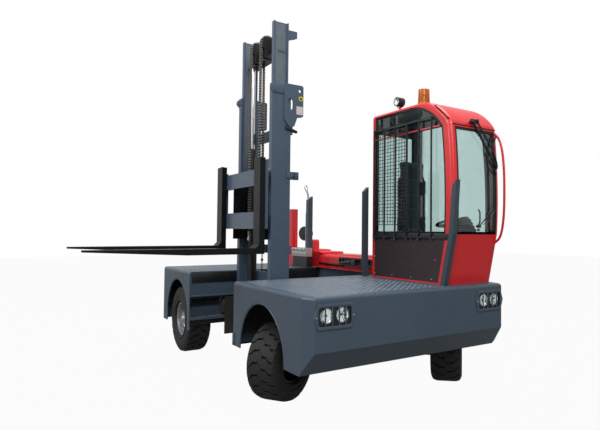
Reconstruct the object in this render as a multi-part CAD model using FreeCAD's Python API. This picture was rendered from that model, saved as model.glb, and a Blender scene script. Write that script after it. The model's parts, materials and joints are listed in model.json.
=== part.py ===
import FreeCAD, Part
import math
import os
from FreeCAD import Vector

os.makedirs("parts", exist_ok=True)

# ---------------------------------------------------------------------------
# Four-wheel sideloader: a platform truck with a mast that traverses across
# a well between the front and the rear deck, and a one-man cab on the front
# deck.  X forward, Y to the left, Z up, millimetres.  X = 0 is mid-length
# and Y = 0 is mid-width here; save() moves each piece so that the origin of
# the exported model is the middle of the footprint, fork tips included.
# ---------------------------------------------------------------------------

# Overall
LENGTH = 4210.0
WIDTH = 2190.0
DECK_H = 1060.0
FRONT_DECK_L = 1554.0
REAR_DECK_L = 1194.0
FRONT_SKIRT_Z = 437.0
REAR_SKIRT_Z = 350.0
SKIN = 10.0
EDGE_R = 30.0
NOSE_CREASE_Z = 630.0
NOSE_SETBACK = 160.0
PLATFORM_T = 8.0
PLATFORM_GAP = 3.0
PLATFORM_RIM = 62.0
PLATFORM_W = 1450.0
CORNER_L = 130.0
CORNER_IN = 45.0

# Wheels and axles
FRONT_TYRE_R = 360.0
FRONT_TYRE_W = 320.0
FRONT_RIM_R = 190.0
REAR_TYRE_R = 420.0
REAR_TYRE_W = 290.0
REAR_RIM_R = 215.0
RIM_T = 12.0
KINGPIN_BACK = 787.0
KINGPIN_IN = 400.0
KINGPIN_R = 28.0
KINGPIN_OFFSET = 265.0
RIGHT_STEER = -59.0
LEFT_STEER = -45.0
REAR_AXLE_IN = 665.0
TYRE_INSET = 35.0
FRONT_ARCH_BACK = 905.0
FRONT_ARCH_R = 483.0
REAR_ARCH_R = 465.0
REAR_ARCH_Z = 478.0

# Chassis frame
TUBE_W = 80.0
TUBE_H = 200.0
TUBE_T = 10.0
TUBE_Z = 560.0
FRONT_RAIL_Y = 340.0
REAR_RAIL_Y = 520.0
END_PLATE_T = 10.0
SPINE_Z = 400.0
SPINE_H = 160.0
ENGINE_BAY_W = 395.0

# Traverse rails and the carriage that rolls in them
RAIL_DEPTH = 80.0
RAIL_Z = 470.0
RAIL_H = 301.0
RAIL_FLANGE = 36.0
RAIL_WEB = 14.0
ROLLER_PLAY = 6.0
ROLLER_W = 52.0
ROLLER_PITCH = 360.0
TRAVERSE_PLATE_T = 20.0
WELL_GAP = 6.0
JOINT_PLAY = 5.0
PIN_PLAY = 0.5
TRAVERSE = 800.0

# Mast
MAST_W = 966.0
MAST_DEPTH = 226.0
MAST_NEAR_Y = -600.0
MAST_FOOT_Z = 250.0
MAST_BASE_T = 30.0
OUTER_TOP_Z = 3195.0
OUTER_FLANGE = 70.0
OUTER_T = 20.0
INNER_TOP_Z = 3898.0
INNER_L = 2980.0
INNER_FLANGE = 60.0
INNER_T = 16.0
INNER_GROOVE = 22.0
INNER_WEB = 12.0
MAST_PLAY = 5.0
HINGE_Z = 330.0
PIN_R = 25.0
CHAIN_PITCH = 280.0
CHAIN_W = 34.0
CHAIN_T = 12.0
PULLEY_R = 75.0
PULLEY_W = 46.0
PULLEY_Z = 3735.0
PULLEY_Y = -512.0
LIFT_BARREL_R = 42.0
LIFT_BORE_R = 32.0
LIFT_ROD_R = 25.0
LIFT_PITCH = 630.0
LIFT_BARREL_TOP = 2560.0
LIFT_ROD_L = 2600.0

# Fork carriage and forks
FORK_PITCH = 1135.0
FORK_W = 160.0
FORK_T = 60.0
FORK_L = 1605.0
FORK_TOP_Z = 1382.0
FORK_TIP_T = 18.0
FORK_FACE_Y = -800.0
FORK_SHANK_TOP = 2335.0
BAR_L = 1220.0
BAR_T = 50.0
UPPER_BAR_Z = 2057.0
UPPER_BAR_H = 176.0
LOWER_BAR_Z = 1586.0
LOWER_BAR_H = 184.0
SIDE_PLATE_T = 20.0
CARRIAGE_ROLLER_R = 64.0

# Cab
CAB_BACK = 1360.0
CAB_W = 640.0
CAB_FAR_GAP = 10.0
CAB_H = 1825.0
CAB_NOSE = 170.0
CAB_LEAN = 77.4
CAB_BELT_H = 470.0
BELT_R = 300.0
SCREEN_LOW = 87.0
SCREEN_HIGH = 97.0
BROW_R = 80.0
BROW_TURN = 127.0
CROWN_H = 283.0
CAB_EDGE_R = 44.0
CAB_WALL = 40.0
PILLAR_FRONT = 105.0
PILLAR_REAR = 45.0
REAR_WINDOW_EDGE = 10.0
REAR_HEADER = 185.0
ROOF_EDGE = 34.0
SILL_H = 12.0
BELT_H = 24.0
WINDSCREEN_EDGE = 48.0
PANEL_T = 25.0
GLASS_T = 6.0
GLASS_SET = 14.0
DOOR_T = 35.0
DOOR_GAP = 6.0
DOOR_POST = 55.0
DOOR_RIM = 45.0
FLOOR_T = 8.0
GUARD_GAP = 12.0
GUARD_T = 14.0
HANDLE_OUT = 40.0
HANDLE_REACH = 163.0
HANDLE_R = 13.0

# ---------------------------------------------------------------------------
# Places worked out from the sizes above
# ---------------------------------------------------------------------------
HALF_W = WIDTH / 2
X_FRONT = LENGTH / 2
X_REAR = -LENGTH / 2
WELL_X1 = X_FRONT - FRONT_DECK_L
WELL_X0 = X_REAR + REAR_DECK_L
WELL_MID = (WELL_X0 + WELL_X1) / 2
BAY_Y = HALF_W - ENGINE_BAY_W
KINGPIN_X = X_FRONT - KINGPIN_BACK
KINGPIN_Y = HALF_W - KINGPIN_IN
REAR_AXLE_X = X_REAR + REAR_AXLE_IN
FRONT_ARCH_X = X_FRONT - FRONT_ARCH_BACK
CAB_FAR_Y = HALF_W - CAB_FAR_GAP
CAB_NEAR_Y = CAB_FAR_Y - CAB_W
CAB_REAR_X = X_FRONT - CAB_BACK
CAB_FOOT_X = X_FRONT - CAB_NOSE
DOOR_X0 = CAB_REAR_X + DOOR_POST
HANDLE_X = X_FRONT + HANDLE_OUT
CAB_TOP_Z = DECK_H + CAB_H
CAB_BELT_Z = DECK_H + CAB_BELT_H
CAB_SPLIT_Z = CAB_TOP_Z - CROWN_H
FORK_TIP_Y = FORK_FACE_Y - FORK_L
MAST_FAR_Y = MAST_NEAR_Y + MAST_DEPTH
MAST_MID_Y = (MAST_NEAR_Y + MAST_FAR_Y) / 2
INNER_HALF = MAST_W / 2 - OUTER_T - MAST_PLAY
INNER_NEAR_Y = MAST_NEAR_Y + OUTER_T + MAST_PLAY
INNER_FAR_Y = MAST_FAR_Y - OUTER_T - MAST_PLAY
INNER_FOOT_Z = INNER_TOP_Z - INNER_L
ROLLER_R = (RAIL_H - 2 * RAIL_FLANGE - ROLLER_PLAY) / 2
ROLLER_Z = RAIL_Z + RAIL_FLANGE + 0.5 + ROLLER_R
PLATE_OUT = (WELL_X1 - WELL_X0) / 2 - WELL_GAP


def tyre_outline(radius, width, rim):
    """Half section of a tyre as (axial, radius) points, shoulders bevelled."""
    h = width / 2
    return [(-h + 34, rim), (h - 34, rim), (h - 6, rim + 30), (h, (radius + rim) / 2),
            (h - 4, radius - 45), (h - 22, radius - 12), (h - 60, radius), (-h + 60, radius),
            (-h + 22, radius - 12), (-h + 4, radius - 45), (-h, (radius + rim) / 2),
            (-h + 6, rim + 30)]


def left_reach():
    """The parked left tyre reaches past the left side, so it ends the footprint."""
    turn = math.radians(-LEFT_STEER)
    outline = tyre_outline(FRONT_TYRE_R, FRONT_TYRE_W, FRONT_RIM_R)
    return KINGPIN_Y + max((KINGPIN_OFFSET + a) * math.cos(turn) + r * math.sin(turn)
                           for a, r in outline)


ORIGIN_X = (X_REAR + HANDLE_X + HANDLE_R) / 2
ORIGIN_Y = (FORK_TIP_Y + left_reach()) / 2


def box(x0, x1, y0, y1, z0, z1):
    return Part.makeBox(x1 - x0, y1 - y0, z1 - z0, Vector(x0, y0, z0))


def rod(radius, start, end):
    a = Vector(*start)
    d = Vector(*end) - a
    return Part.makeCylinder(radius, d.Length, a, d)


def prism(points, along, lo, hi):
    """Extrude a closed outline; points are (x, z) along Y or (y, z) along X."""
    if along == "y":
        corners = [Vector(a, lo, b) for a, b in points]
        step = Vector(0, hi - lo, 0)
    else:
        corners = [Vector(lo, a, b) for a, b in points]
        step = Vector(hi - lo, 0, 0)
    wire = Part.makePolygon(corners + corners[:1])
    return Part.Face(wire).extrude(step)


def turned(profile, centre, axis, spin=360.0):
    """Revolve an (axial, radius) outline about an axis through centre."""
    wire = Part.makePolygon([Vector(r, 0, a) for a, r in profile + profile[:1]])
    solid = Part.Face(wire).revolve(Vector(0, 0, 0), Vector(0, 0, 1), spin)
    solid.Placement = FreeCAD.Placement(
        Vector(*centre), FreeCAD.Rotation(Vector(0, 0, 1), Vector(*axis)))
    return solid


def tube_beam(x0, x1, y0, y1, z0, z1, along):
    """Rectangular hollow section, open at both ends."""
    t = TUBE_T
    grow = {"x": (0, t, t), "y": (t, 0, t), "z": (t, t, 0)}[along]
    hole = box(x0 + grow[0], x1 - grow[0], y0 + grow[1], y1 - grow[1],
               z0 + grow[2], z1 - grow[2])
    return box(x0, x1, y0, y1, z0, z1).cut(hole)


def fuse(shapes):
    whole = shapes[0]
    if len(shapes) > 1:
        whole = whole.multiFuse(shapes[1:])
    return whole.removeSplitter()


def save(name, shape):
    shape = shape.copy()
    shape.translate(Vector(-ORIGIN_X, -ORIGIN_Y, 0))
    shape.exportStep("parts/" + name + ".step")


def rounded(shape, radius, wanted):
    edges = [e for e in shape.Edges if wanted(e)]
    return shape.makeFillet(radius, edges)


def mid(edge):
    return edge.CenterOfMass


# ---------------------------------------------------------------------------
# Body shells of the two decks
# ---------------------------------------------------------------------------
def nose_outline(setin):
    """Side outline of the front body, (x, z), moved inward by setin."""
    return [(WELL_X1 + setin, FRONT_SKIRT_Z - (1 if setin else 0)),
            (X_FRONT - NOSE_SETBACK - setin, FRONT_SKIRT_Z - (1 if setin else 0)),
            (X_FRONT - setin, NOSE_CREASE_Z),
            (X_FRONT - setin, DECK_H - setin),
            (WELL_X1 + setin, DECK_H - setin)]


def arch_cut(x, radius, z, foot):
    """What a wheel arch removes from both side skins."""
    round_part = rod(radius, (x, -HALF_W - 1, z), (x, HALF_W + 1, z))
    legs = box(x - radius, x + radius, -HALF_W - 1, HALF_W + 1, foot - 1, z)
    return round_part.fuse(legs)


def well_wall_cut(x0, x1, low):
    """Openings in a well wall for the C-rail and for the spine under the engine."""
    rail = box(x0 - 1, x1 + 1, -HALF_W + SKIN, BAY_Y, low, RAIL_Z + RAIL_H)
    spine = box(x0 - 1, x1 + 1, BAY_Y, HALF_W - SKIN, REAR_SKIRT_Z - 1, SPINE_Z + SPINE_H)
    return rail.fuse(spine)


def platform_box(x0, x1, grow, z0, z1):
    """Clear loading plate beside the near edge, grown by a gap."""
    y0 = -HALF_W + PLATFORM_RIM
    return box(x0 + PLATFORM_RIM - grow, x1 - PLATFORM_RIM + grow,
               y0 - grow, y0 + PLATFORM_W - PLATFORM_RIM + grow, z0, z1)


def plan_prism(setin):
    """Plan outline of the front body with its two front corners cut off."""
    y = HALF_W - setin
    x0 = WELL_X1 + setin
    x1 = X_FRONT - setin
    points = [(x0, -y), (x1 - CORNER_L, -y), (x1, -y + CORNER_IN), (x1, y - CORNER_IN),
              (x1 - CORNER_L, y), (x0, y)]
    corners = [Vector(a, b, 0) for a, b in points]
    return Part.Face(Part.makePolygon(corners + corners[:1])).extrude(Vector(0, 0, 2 * DECK_H))


def front_body():
    shell = prism(nose_outline(0), "y", -HALF_W, HALF_W).common(plan_prism(0))
    top = DECK_H - 1e-3
    shell = rounded(shell, EDGE_R, lambda e: mid(e).z > top and mid(e).x > WELL_X1 + 1)
    inner = prism(nose_outline(SKIN), "y", -HALF_W + SKIN, HALF_W - SKIN)
    shell = shell.cut(inner.common(plan_prism(SKIN)))
    shell = shell.cut(arch_cut(FRONT_ARCH_X, FRONT_ARCH_R, FRONT_SKIRT_Z, FRONT_SKIRT_Z))
    shell = shell.cut(well_wall_cut(WELL_X1, WELL_X1 + SKIN, RAIL_Z))
    for y in (-HEADLIGHT_Y, HEADLIGHT_Y):
        shell = shell.cut(headlight_form(y, X_FRONT - HEADLIGHT_DEEP, X_FRONT + 1, 0))
    shell = shell.cut(platform_box(WELL_X1, X_FRONT, PLATFORM_GAP,
                                   DECK_H - PLATFORM_T, DECK_H + 1))
    return shell


def rear_body():
    shell = box(X_REAR, WELL_X0, -HALF_W, HALF_W, REAR_SKIRT_Z, DECK_H)
    top = DECK_H - 1e-3
    shell = rounded(shell, EDGE_R, lambda e: (
        (mid(e).z > top and (mid(e).x < X_REAR + 1 or abs(mid(e).y) > HALF_W - 1))
        or (mid(e).x < X_REAR + 1 and abs(mid(e).y) > HALF_W - 1)))
    shell = shell.cut(box(X_REAR + SKIN, WELL_X0 - SKIN, -HALF_W + SKIN, HALF_W - SKIN,
                          REAR_SKIRT_Z - 1, DECK_H - SKIN))
    shell = shell.cut(arch_cut(REAR_AXLE_X, REAR_ARCH_R, REAR_ARCH_Z, REAR_SKIRT_Z))
    shell = shell.cut(well_wall_cut(WELL_X0 - SKIN, WELL_X0, REAR_SKIRT_Z - 1))
    shell = shell.cut(platform_box(X_REAR, WELL_X0, PLATFORM_GAP,
                                   DECK_H - PLATFORM_T, DECK_H + 1))
    return shell


def platform(x0, x1):
    return platform_box(x0, x1, 0, DECK_H - PLATFORM_T, DECK_H)


# Headlight units: a plate with pointed ends, set back at each end of the front
# fascia, with two round lamps.
HEADLIGHT_Z = DECK_H - 232
HEADLIGHT_H = 166.0
HEADLIGHT_W = 340.0
HEADLIGHT_Y = HALF_W - 221
HEADLIGHT_POINT = 22.0
HEADLIGHT_DEEP = 60.0
HEADLIGHT_SET = 4.0
LAMP_R = 62.0
LAMP_DEEP = 30.0
LAMP_PITCH = 142.0


def headlight_form(y, x0, x1, setin):
    half = HEADLIGHT_W / 2 - setin
    low = HEADLIGHT_Z + setin
    high = HEADLIGHT_Z + HEADLIGHT_H - setin
    middle = (low + high) / 2
    tip = half - HEADLIGHT_POINT
    return prism([(y - half, middle), (y - tip, low), (y + tip, low), (y + half, middle),
                  (y + tip, high), (y - tip, high)], "x", x0, x1)


def headlights():
    units = []
    x1 = X_FRONT - HEADLIGHT_SET
    z = HEADLIGHT_Z + HEADLIGHT_H / 2
    for side in (-1, 1):
        unit = headlight_form(side * HEADLIGHT_Y, x1 - HEADLIGHT_DEEP, x1, 0)
        for k in (-0.5, 0.5):
            y = side * HEADLIGHT_Y + k * LAMP_PITCH
            unit = unit.cut(rod(LAMP_R, (x1 - LAMP_DEEP, y, z), (x1 + 1, y, z)))
            lens = rod(LAMP_R - 6, (x1 - LAMP_DEEP - 1, y, z), (x1 - LAMP_DEEP / 2, y, z))
            unit = unit.fuse(lens)
        units.append(unit.removeSplitter())
    return Part.makeCompound(units)


# ---------------------------------------------------------------------------
# Chassis frame: end plates of the well, front and rear rails, and the spine
# that joins them along the left side under the engine.
# ---------------------------------------------------------------------------
NOSE_BEAM_SET = 40.0


def chassis_frame():
    t = END_PLATE_T
    inside = HALF_W - SKIN
    front_plate = WELL_X1 + RAIL_DEPTH
    rear_plate = WELL_X0 - RAIL_DEPTH
    roof = DECK_H - SKIN
    parts = [box(front_plate, front_plate + t, -inside, inside, SPINE_Z + SPINE_H, roof),
             box(rear_plate - t, rear_plate, -inside, inside, SPINE_Z, roof)]
    z0 = TUBE_Z
    z1 = TUBE_Z + TUBE_H
    nose = X_FRONT - SKIN - TUBE_W - NOSE_BEAM_SET
    for s in (-1, 1):
        y = s * FRONT_RAIL_Y
        parts.append(tube_beam(front_plate + t, nose, y - TUBE_W / 2, y + TUBE_W / 2,
                               z0, z1, "x"))
        y = s * REAR_RAIL_Y
        parts.append(tube_beam(X_REAR + SKIN + TUBE_W, rear_plate - t, y - TUBE_W / 2,
                               y + TUBE_W / 2, z0, z1, "x"))
    reach = inside - CORNER_IN
    parts.append(tube_beam(nose, nose + TUBE_W, -reach, reach, z0 + TUBE_W, z1, "y"))
    parts.append(tube_beam(X_REAR + SKIN, X_REAR + SKIN + TUBE_W, -inside, inside,
                           z0, z1, "y"))
    for y in (BAY_Y + SKIN + TUBE_W / 2, inside - TUBE_W / 2):
        parts.append(tube_beam(rear_plate, front_plate + t, y - TUBE_W / 2, y + TUBE_W / 2,
                               SPINE_Z + t, SPINE_Z + SPINE_H, "x"))
    parts.append(box(rear_plate, front_plate + t, BAY_Y + SKIN, inside, SPINE_Z,
                     SPINE_Z + t))
    return fuse(parts)


def traverse_rail(outer_x, inner_x):
    """C-section let into a well wall; its open side faces the well."""
    y0 = -HALF_W + SKIN
    x0 = min(outer_x, inner_x)
    x1 = max(outer_x, inner_x)
    rail = box(x0, x1, y0, BAY_Y, RAIL_Z, RAIL_Z + RAIL_H)
    if outer_x < inner_x:
        hollow = (x0 + RAIL_WEB, x1 + 1)
    else:
        hollow = (x0 - 1, x1 - RAIL_WEB)
    return rail.cut(box(hollow[0], hollow[1], y0 + 20, BAY_Y + 1,
                        RAIL_Z + RAIL_FLANGE, RAIL_Z + RAIL_H - RAIL_FLANGE))


def left_side_panel():
    return box(WELL_X0, WELL_X1, HALF_W - SKIN, HALF_W, SPINE_Z, DECK_H)


def engine_bay_wall():
    return box(WELL_X0, WELL_X1, BAY_Y, BAY_Y + SKIN, SPINE_Z, DECK_H)


HOOD_TOP = DECK_H + 180
HOOD_T = 6.0
HOOD_R = 35.0
GRILLE_L = 900.0
GRILLE_Z = DECK_H + 72
GRILLE_H = 90.0
GRILLE_END = 40.0
GRILLE_SLOTS = 12
GRILLE_SLOT_W = 44.0
GRILLE_RIM = 20.0


def engine_hood():
    hood = box(WELL_X0, WELL_X1, BAY_Y, HALF_W, DECK_H, HOOD_TOP)
    hood = rounded(hood, HOOD_R, lambda e: mid(e).z > HOOD_TOP - 1)
    inner = box(WELL_X0 + HOOD_T, WELL_X1 - HOOD_T, BAY_Y + HOOD_T, HALF_W - HOOD_T,
                DECK_H - 1, HOOD_TOP - HOOD_T)
    inner = rounded(inner, HOOD_R - HOOD_T, lambda e: mid(e).z > HOOD_TOP - HOOD_T - 1)
    hood = hood.cut(inner)
    x1 = WELL_X1 - GRILLE_END
    return hood.cut(box(x1 - GRILLE_L, x1, BAY_Y - 1, BAY_Y + HOOD_T + 1,
                        GRILLE_Z, GRILLE_Z + GRILLE_H))


def hood_grille():
    x1 = WELL_X1 - GRILLE_END
    plate = box(x1 - GRILLE_L, x1, BAY_Y, BAY_Y + HOOD_T, GRILLE_Z, GRILLE_Z + GRILLE_H)
    pitch = GRILLE_L / GRILLE_SLOTS
    half = GRILLE_SLOT_W / 2
    for k in range(GRILLE_SLOTS):
        x = x1 - GRILLE_L + pitch * (k + 0.5)
        plate = plate.cut(box(x - half, x + half, BAY_Y - 1, BAY_Y + HOOD_T + 1,
                              GRILLE_Z + GRILLE_RIM, GRILLE_Z + GRILLE_H - GRILLE_RIM))
    return plate


ENGINE_L = 900.0
ENGINE_W = 300.0
ENGINE_GAP = 64.0


def engine():
    x0 = WELL_MID - ENGINE_L / 2
    y0 = BAY_Y + ENGINE_BAY_W / 2 - ENGINE_W / 2
    z0 = SPINE_Z + SPINE_H
    return box(x0, x0 + ENGINE_L, y0, y0 + ENGINE_W, z0, HOOD_TOP - HOOD_T - ENGINE_GAP)


COWL_TOP = DECK_H + 240
COWL_T = 6.0
COWL_R = 40.0
COWL_Y = BAY_Y - 80
COWL_FRONT_X = WELL_X0 - 269
DOME_Y = BAY_Y
DOME_TOP = DECK_H + 385
DOME_R = 40.0
DOME_L = 90.0
DOME_W = 100.0
STEP_TOP = DECK_H + 215
COWL_POST = (X_REAR + 375, BAY_Y)
COWL_POST_TOP = DECK_H + 840
COWL_POST_X = 110.0
COWL_POST_Y = 100.0
GUSSET_L = 50.0
GUSSET_H = 350.0
GUSSET_T = 12.0


def rear_cowl():
    x0 = X_REAR + EDGE_R
    y1 = HALF_W - EDGE_R
    cowl = box(x0, COWL_FRONT_X, COWL_Y, y1, DECK_H, COWL_TOP)
    cowl = rounded(cowl, COWL_R, lambda e: mid(e).z > COWL_TOP - 1)
    hollow = box(x0 + COWL_T, COWL_FRONT_X - COWL_T, COWL_Y + COWL_T, y1 - COWL_T,
                 DECK_H - 1, COWL_TOP - COWL_T)
    hollow = rounded(hollow, COWL_R - COWL_T, lambda e: mid(e).z > COWL_TOP - COWL_T - 1)
    return fuse([cowl.cut(hollow), cowl_post()])


def air_cleaner_housing():
    """Rounded red housing between the rear cowl and the well."""
    x0 = COWL_FRONT_X
    x1 = x0 + DOME_L
    x2 = WELL_X0
    y1 = HALF_W - EDGE_R
    housing = box(x0, x1, DOME_Y, DOME_Y + DOME_W, DECK_H, DOME_TOP)
    housing = rounded(housing, DOME_R, lambda e: mid(e).z > DOME_TOP - 1 and mid(e).x > x1 - 1)
    housing = housing.fuse(box(x0, x2, DOME_Y, y1, DECK_H, STEP_TOP))
    t = COWL_T
    hollow = box(x0 + t, x1 - t, DOME_Y + t, DOME_Y + DOME_W - t, DECK_H - 1, DOME_TOP - t)
    hollow = rounded(hollow, DOME_R - t, lambda e: (
        mid(e).z > DOME_TOP - t - 1 and mid(e).x > x1 - t - 1))
    hollow = hollow.fuse(box(x0 + t, x2 - t, DOME_Y + t, y1 - t, DECK_H - 1, STEP_TOP - t))
    return housing.cut(hollow).removeSplitter()


def cowl_post():
    """Red post with two gussets that stands on the rear cowl."""
    x, y = COWL_POST
    half = COWL_POST_X / 2
    post = box(x - half, x + half, y - COWL_POST_Y / 2, y + COWL_POST_Y / 2, COWL_TOP,
               COWL_POST_TOP)
    for s in (-1, 1):
        web = [(x + s * half, COWL_TOP), (x + s * (half + GUSSET_L), COWL_TOP),
               (x + s * half, COWL_TOP + GUSSET_H)]
        post = post.fuse(prism(web, "y", y - GUSSET_T / 2, y + GUSSET_T / 2))
    return post.removeSplitter()


HYDRAULIC_X = (WELL_X0 - 419, WELL_X0 - 5)
HYDRAULIC_Y = (BAY_Y - 200, BAY_Y - 110)
HYDRAULIC_TOP = DECK_H + 150
VALVE_Y = (BAY_Y - 210, BAY_Y - 112)
VALVE_H = 118.0


def hydraulic_unit():
    return box(*HYDRAULIC_X, *HYDRAULIC_Y, DECK_H, HYDRAULIC_TOP)


def valve_block():
    return box(*HYDRAULIC_X, *VALVE_Y, HYDRAULIC_TOP, HYDRAULIC_TOP + VALVE_H)


POST_W = 55.0
REAR_POST_W = 70.0
REAR_POST_RISE = 15.0
POST_TOP = DECK_H + 990
POST_BEVEL = 55.0
CAB_POST_X = (X_FRONT - 143, X_FRONT - 23, X_FRONT + 17)
CAB_POST_BEND = DECK_H + 489
CAB_POST_Y = CAB_NEAR_Y - 35
NEAR_POST_X = WELL_X1 + 94
NEAR_POST_RISE = 25.0
REAR_POST_X = WELL_X0 - 174


def stanchion(x, y, width, rise):
    half = width / 2
    top = POST_TOP + rise
    outline = [(y - half, DECK_H), (y + half, DECK_H), (y + half, top),
               (y - half, top - POST_BEVEL)]
    return prism(outline, "x", x - half, x + half)


def cab_post():
    """Bent stanchion that follows the cab's front corner."""
    half = POST_W / 2
    low, bend, top = CAB_POST_X
    outline = [(low - half, DECK_H), (low + half, DECK_H), (bend + half, CAB_POST_BEND),
               (top + half, POST_TOP), (top - half, POST_TOP - POST_BEVEL),
               (bend - half, CAB_POST_BEND)]
    return prism(outline, "y", CAB_POST_Y - half, CAB_POST_Y + half)


def stanchions():
    rear_y = HYDRAULIC_Y[1] + REAR_POST_W / 2 + 4
    return Part.makeCompound([
        stanchion(NEAR_POST_X, CAB_POST_Y, POST_W, NEAR_POST_RISE), cab_post(),
        stanchion(REAR_POST_X, rear_y, REAR_POST_W, REAR_POST_RISE)])


# ---------------------------------------------------------------------------
# Traverse carriage, mast and its cylinders
# ---------------------------------------------------------------------------
ARM_T = 30.0
BEAM_Y0 = -330.0
BEAM_Y1 = -170.0
BEAM_Z0 = 270.0
BEAM_Z1 = 400.0
TILT_X = MAST_W / 2 + 77
TILT_LOW = (-150.0, 480.0)
TILT_HIGH = (-420.0, 900.0)
TILT_PIN_R = 16.0
TILT_BARREL_R = 38.0
TILT_ROD_R = 20.0
TILT_EYE_R = 34.0
TILT_EYE_W = 44.0
TILT_EAR_T = 16.0
TILT_EAR_R = 34.0
ARM_PLAY = 12.0
ROLLER_LEAD = 10.0
TILT_EAR_X = TILT_BARREL_R + JOINT_PLAY + TILT_EAR_T / 2
TILT_PIN_HALF = TILT_EAR_X + TILT_EAR_T / 2 + JOINT_PLAY


def traverse_carriage():
    parts = []
    roller_y0 = MAST_NEAR_Y + ROLLER_LEAD
    for s in (-1, 1):
        outer = WELL_MID + s * PLATE_OUT
        inner = outer - s * TRAVERSE_PLATE_T
        x0 = min(outer, inner)
        x1 = max(outer, inner)
        parts.append(box(x0, x1, roller_y0 - 70, BEAM_Y1 + 60, BEAM_Z0, RAIL_Z + RAIL_H - 40))
        arm = WELL_MID + s * (MAST_W / 2 + ARM_PLAY)
        far = arm + s * ARM_T
        parts.append(box(min(arm, far), max(arm, far), MAST_MID_Y - 60, BEAM_Y0,
                         BEAM_Z0, BEAM_Z1))
        parts.append(rod(PIN_R, (arm - s * (ARM_PLAY + OUTER_T - 2), MAST_MID_Y, HINGE_Z),
                         (far, MAST_MID_Y, HINGE_Z)))
        pin = WELL_MID + s * TILT_X
        for k in (-1, 1):
            x = pin + k * TILT_EAR_X
            parts.append(box(x - TILT_EAR_T / 2, x + TILT_EAR_T / 2, TILT_LOW[0] - TILT_EAR_R,
                             TILT_LOW[0] + TILT_EAR_R, BEAM_Z0, TILT_LOW[1] + TILT_EAR_R))
        parts.append(rod(TILT_PIN_R, (pin - TILT_PIN_HALF, *TILT_LOW),
                         (pin + TILT_PIN_HALF, *TILT_LOW)))
    parts.append(box(WELL_MID - PLATE_OUT, WELL_MID + PLATE_OUT, BEAM_Y0, BEAM_Y1 + 60,
                     BEAM_Z0, BEAM_Z1))
    return fuse(parts)


def traverse_rollers():
    rollers = []
    for s in (-1, 1):
        x0 = WELL_MID + s * PLATE_OUT
        for k in (0, 1):
            y = MAST_NEAR_Y + ROLLER_LEAD + k * ROLLER_PITCH
            rollers.append(rod(ROLLER_R, (x0 + s * 8, y, ROLLER_Z),
                               (x0 + s * (8 + ROLLER_W), y, ROLLER_Z)))
            rollers[-1] = rollers[-1].fuse(rod(30, (x0, y, ROLLER_Z),
                                               (x0 + s * 10, y, ROLLER_Z))).removeSplitter()
    return Part.makeCompound(rollers)


def channel(half, depth_y0, depth_y1, flange, web, z0, z1, s):
    """Mast upright: a channel whose open side faces the middle of the mast."""
    outer = WELL_MID + s * half
    inner = WELL_MID + s * (half - flange)
    x0 = min(outer, inner)
    x1 = max(outer, inner)
    upright = box(x0, x1, depth_y0, depth_y1, z0, z1)
    if s > 0:
        hollow = (x0 - 1, x1 - web)
    else:
        hollow = (x0 + web, x1 + 1)
    return upright.cut(box(hollow[0], hollow[1], depth_y0 + web, depth_y1 - web,
                           z0 - 1, z1 + 1))


EAR_T = 20.0
EAR_OUTLINE = ((-88.0, 3205.0), (145.0, 3205.0), (145.0, 2850.0), (70.0, 2835.0),
               (35.0, 2735.0), (-20.0, 2715.0), (-88.0, 2800.0))
EAR_CORNER_R = 24.0
EAR_SLOT = (-15.0, 2950.0, 3010.0)
EAR_SLOT_R = 34.0
EAR_HOLE = (102.0, 3141.0)
EAR_HOLE_R = 18.0
TIE_T = 50.0
TIE_L = 90.0
TIE_Z = (2140.0, 2225.0)
CROSS_T = 24.0
OUTER_CROSSES = ((MAST_FOOT_Z, MAST_FOOT_Z + 160), (1300.0, 1400.0), (2640.0, 2770.0))
TILT_LUG_R = 40.0
TILT_ROD_EYE_W = 40.0
TILT_ROD_EYE_R = 32.0


def ear_plate(x_in, x_out):
    """Plate with rounded corners, a slot and an eye, on an upright's outer face."""
    x0 = min(x_in, x_out)
    x1 = max(x_in, x_out)
    plate = prism([(MAST_FAR_Y + a, b) for a, b in EAR_OUTLINE], "x", x0, x1)
    right = MAST_FAR_Y + EAR_OUTLINE[1][0] - 1
    left = MAST_FAR_Y + EAR_OUTLINE[0][0] + 1
    plate = rounded(plate, EAR_CORNER_R, lambda e: (
        abs(mid(e).x - (x0 + x1) / 2) < 0.1 and (mid(e).y > right or mid(e).y < left)))
    off, low, high = EAR_SLOT
    y = MAST_FAR_Y + off
    slot = box(x0 - 1, x1 + 1, y - EAR_SLOT_R, y + EAR_SLOT_R, low, high)
    for z in (low, high):
        slot = slot.fuse(rod(EAR_SLOT_R, (x0 - 1, y, z), (x1 + 1, y, z)))
    y = MAST_FAR_Y + EAR_HOLE[0]
    return plate.cut(slot).cut(rod(EAR_HOLE_R, (x0 - 1, y, EAR_HOLE[1]), (x1 + 1, y, EAR_HOLE[1])))


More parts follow.
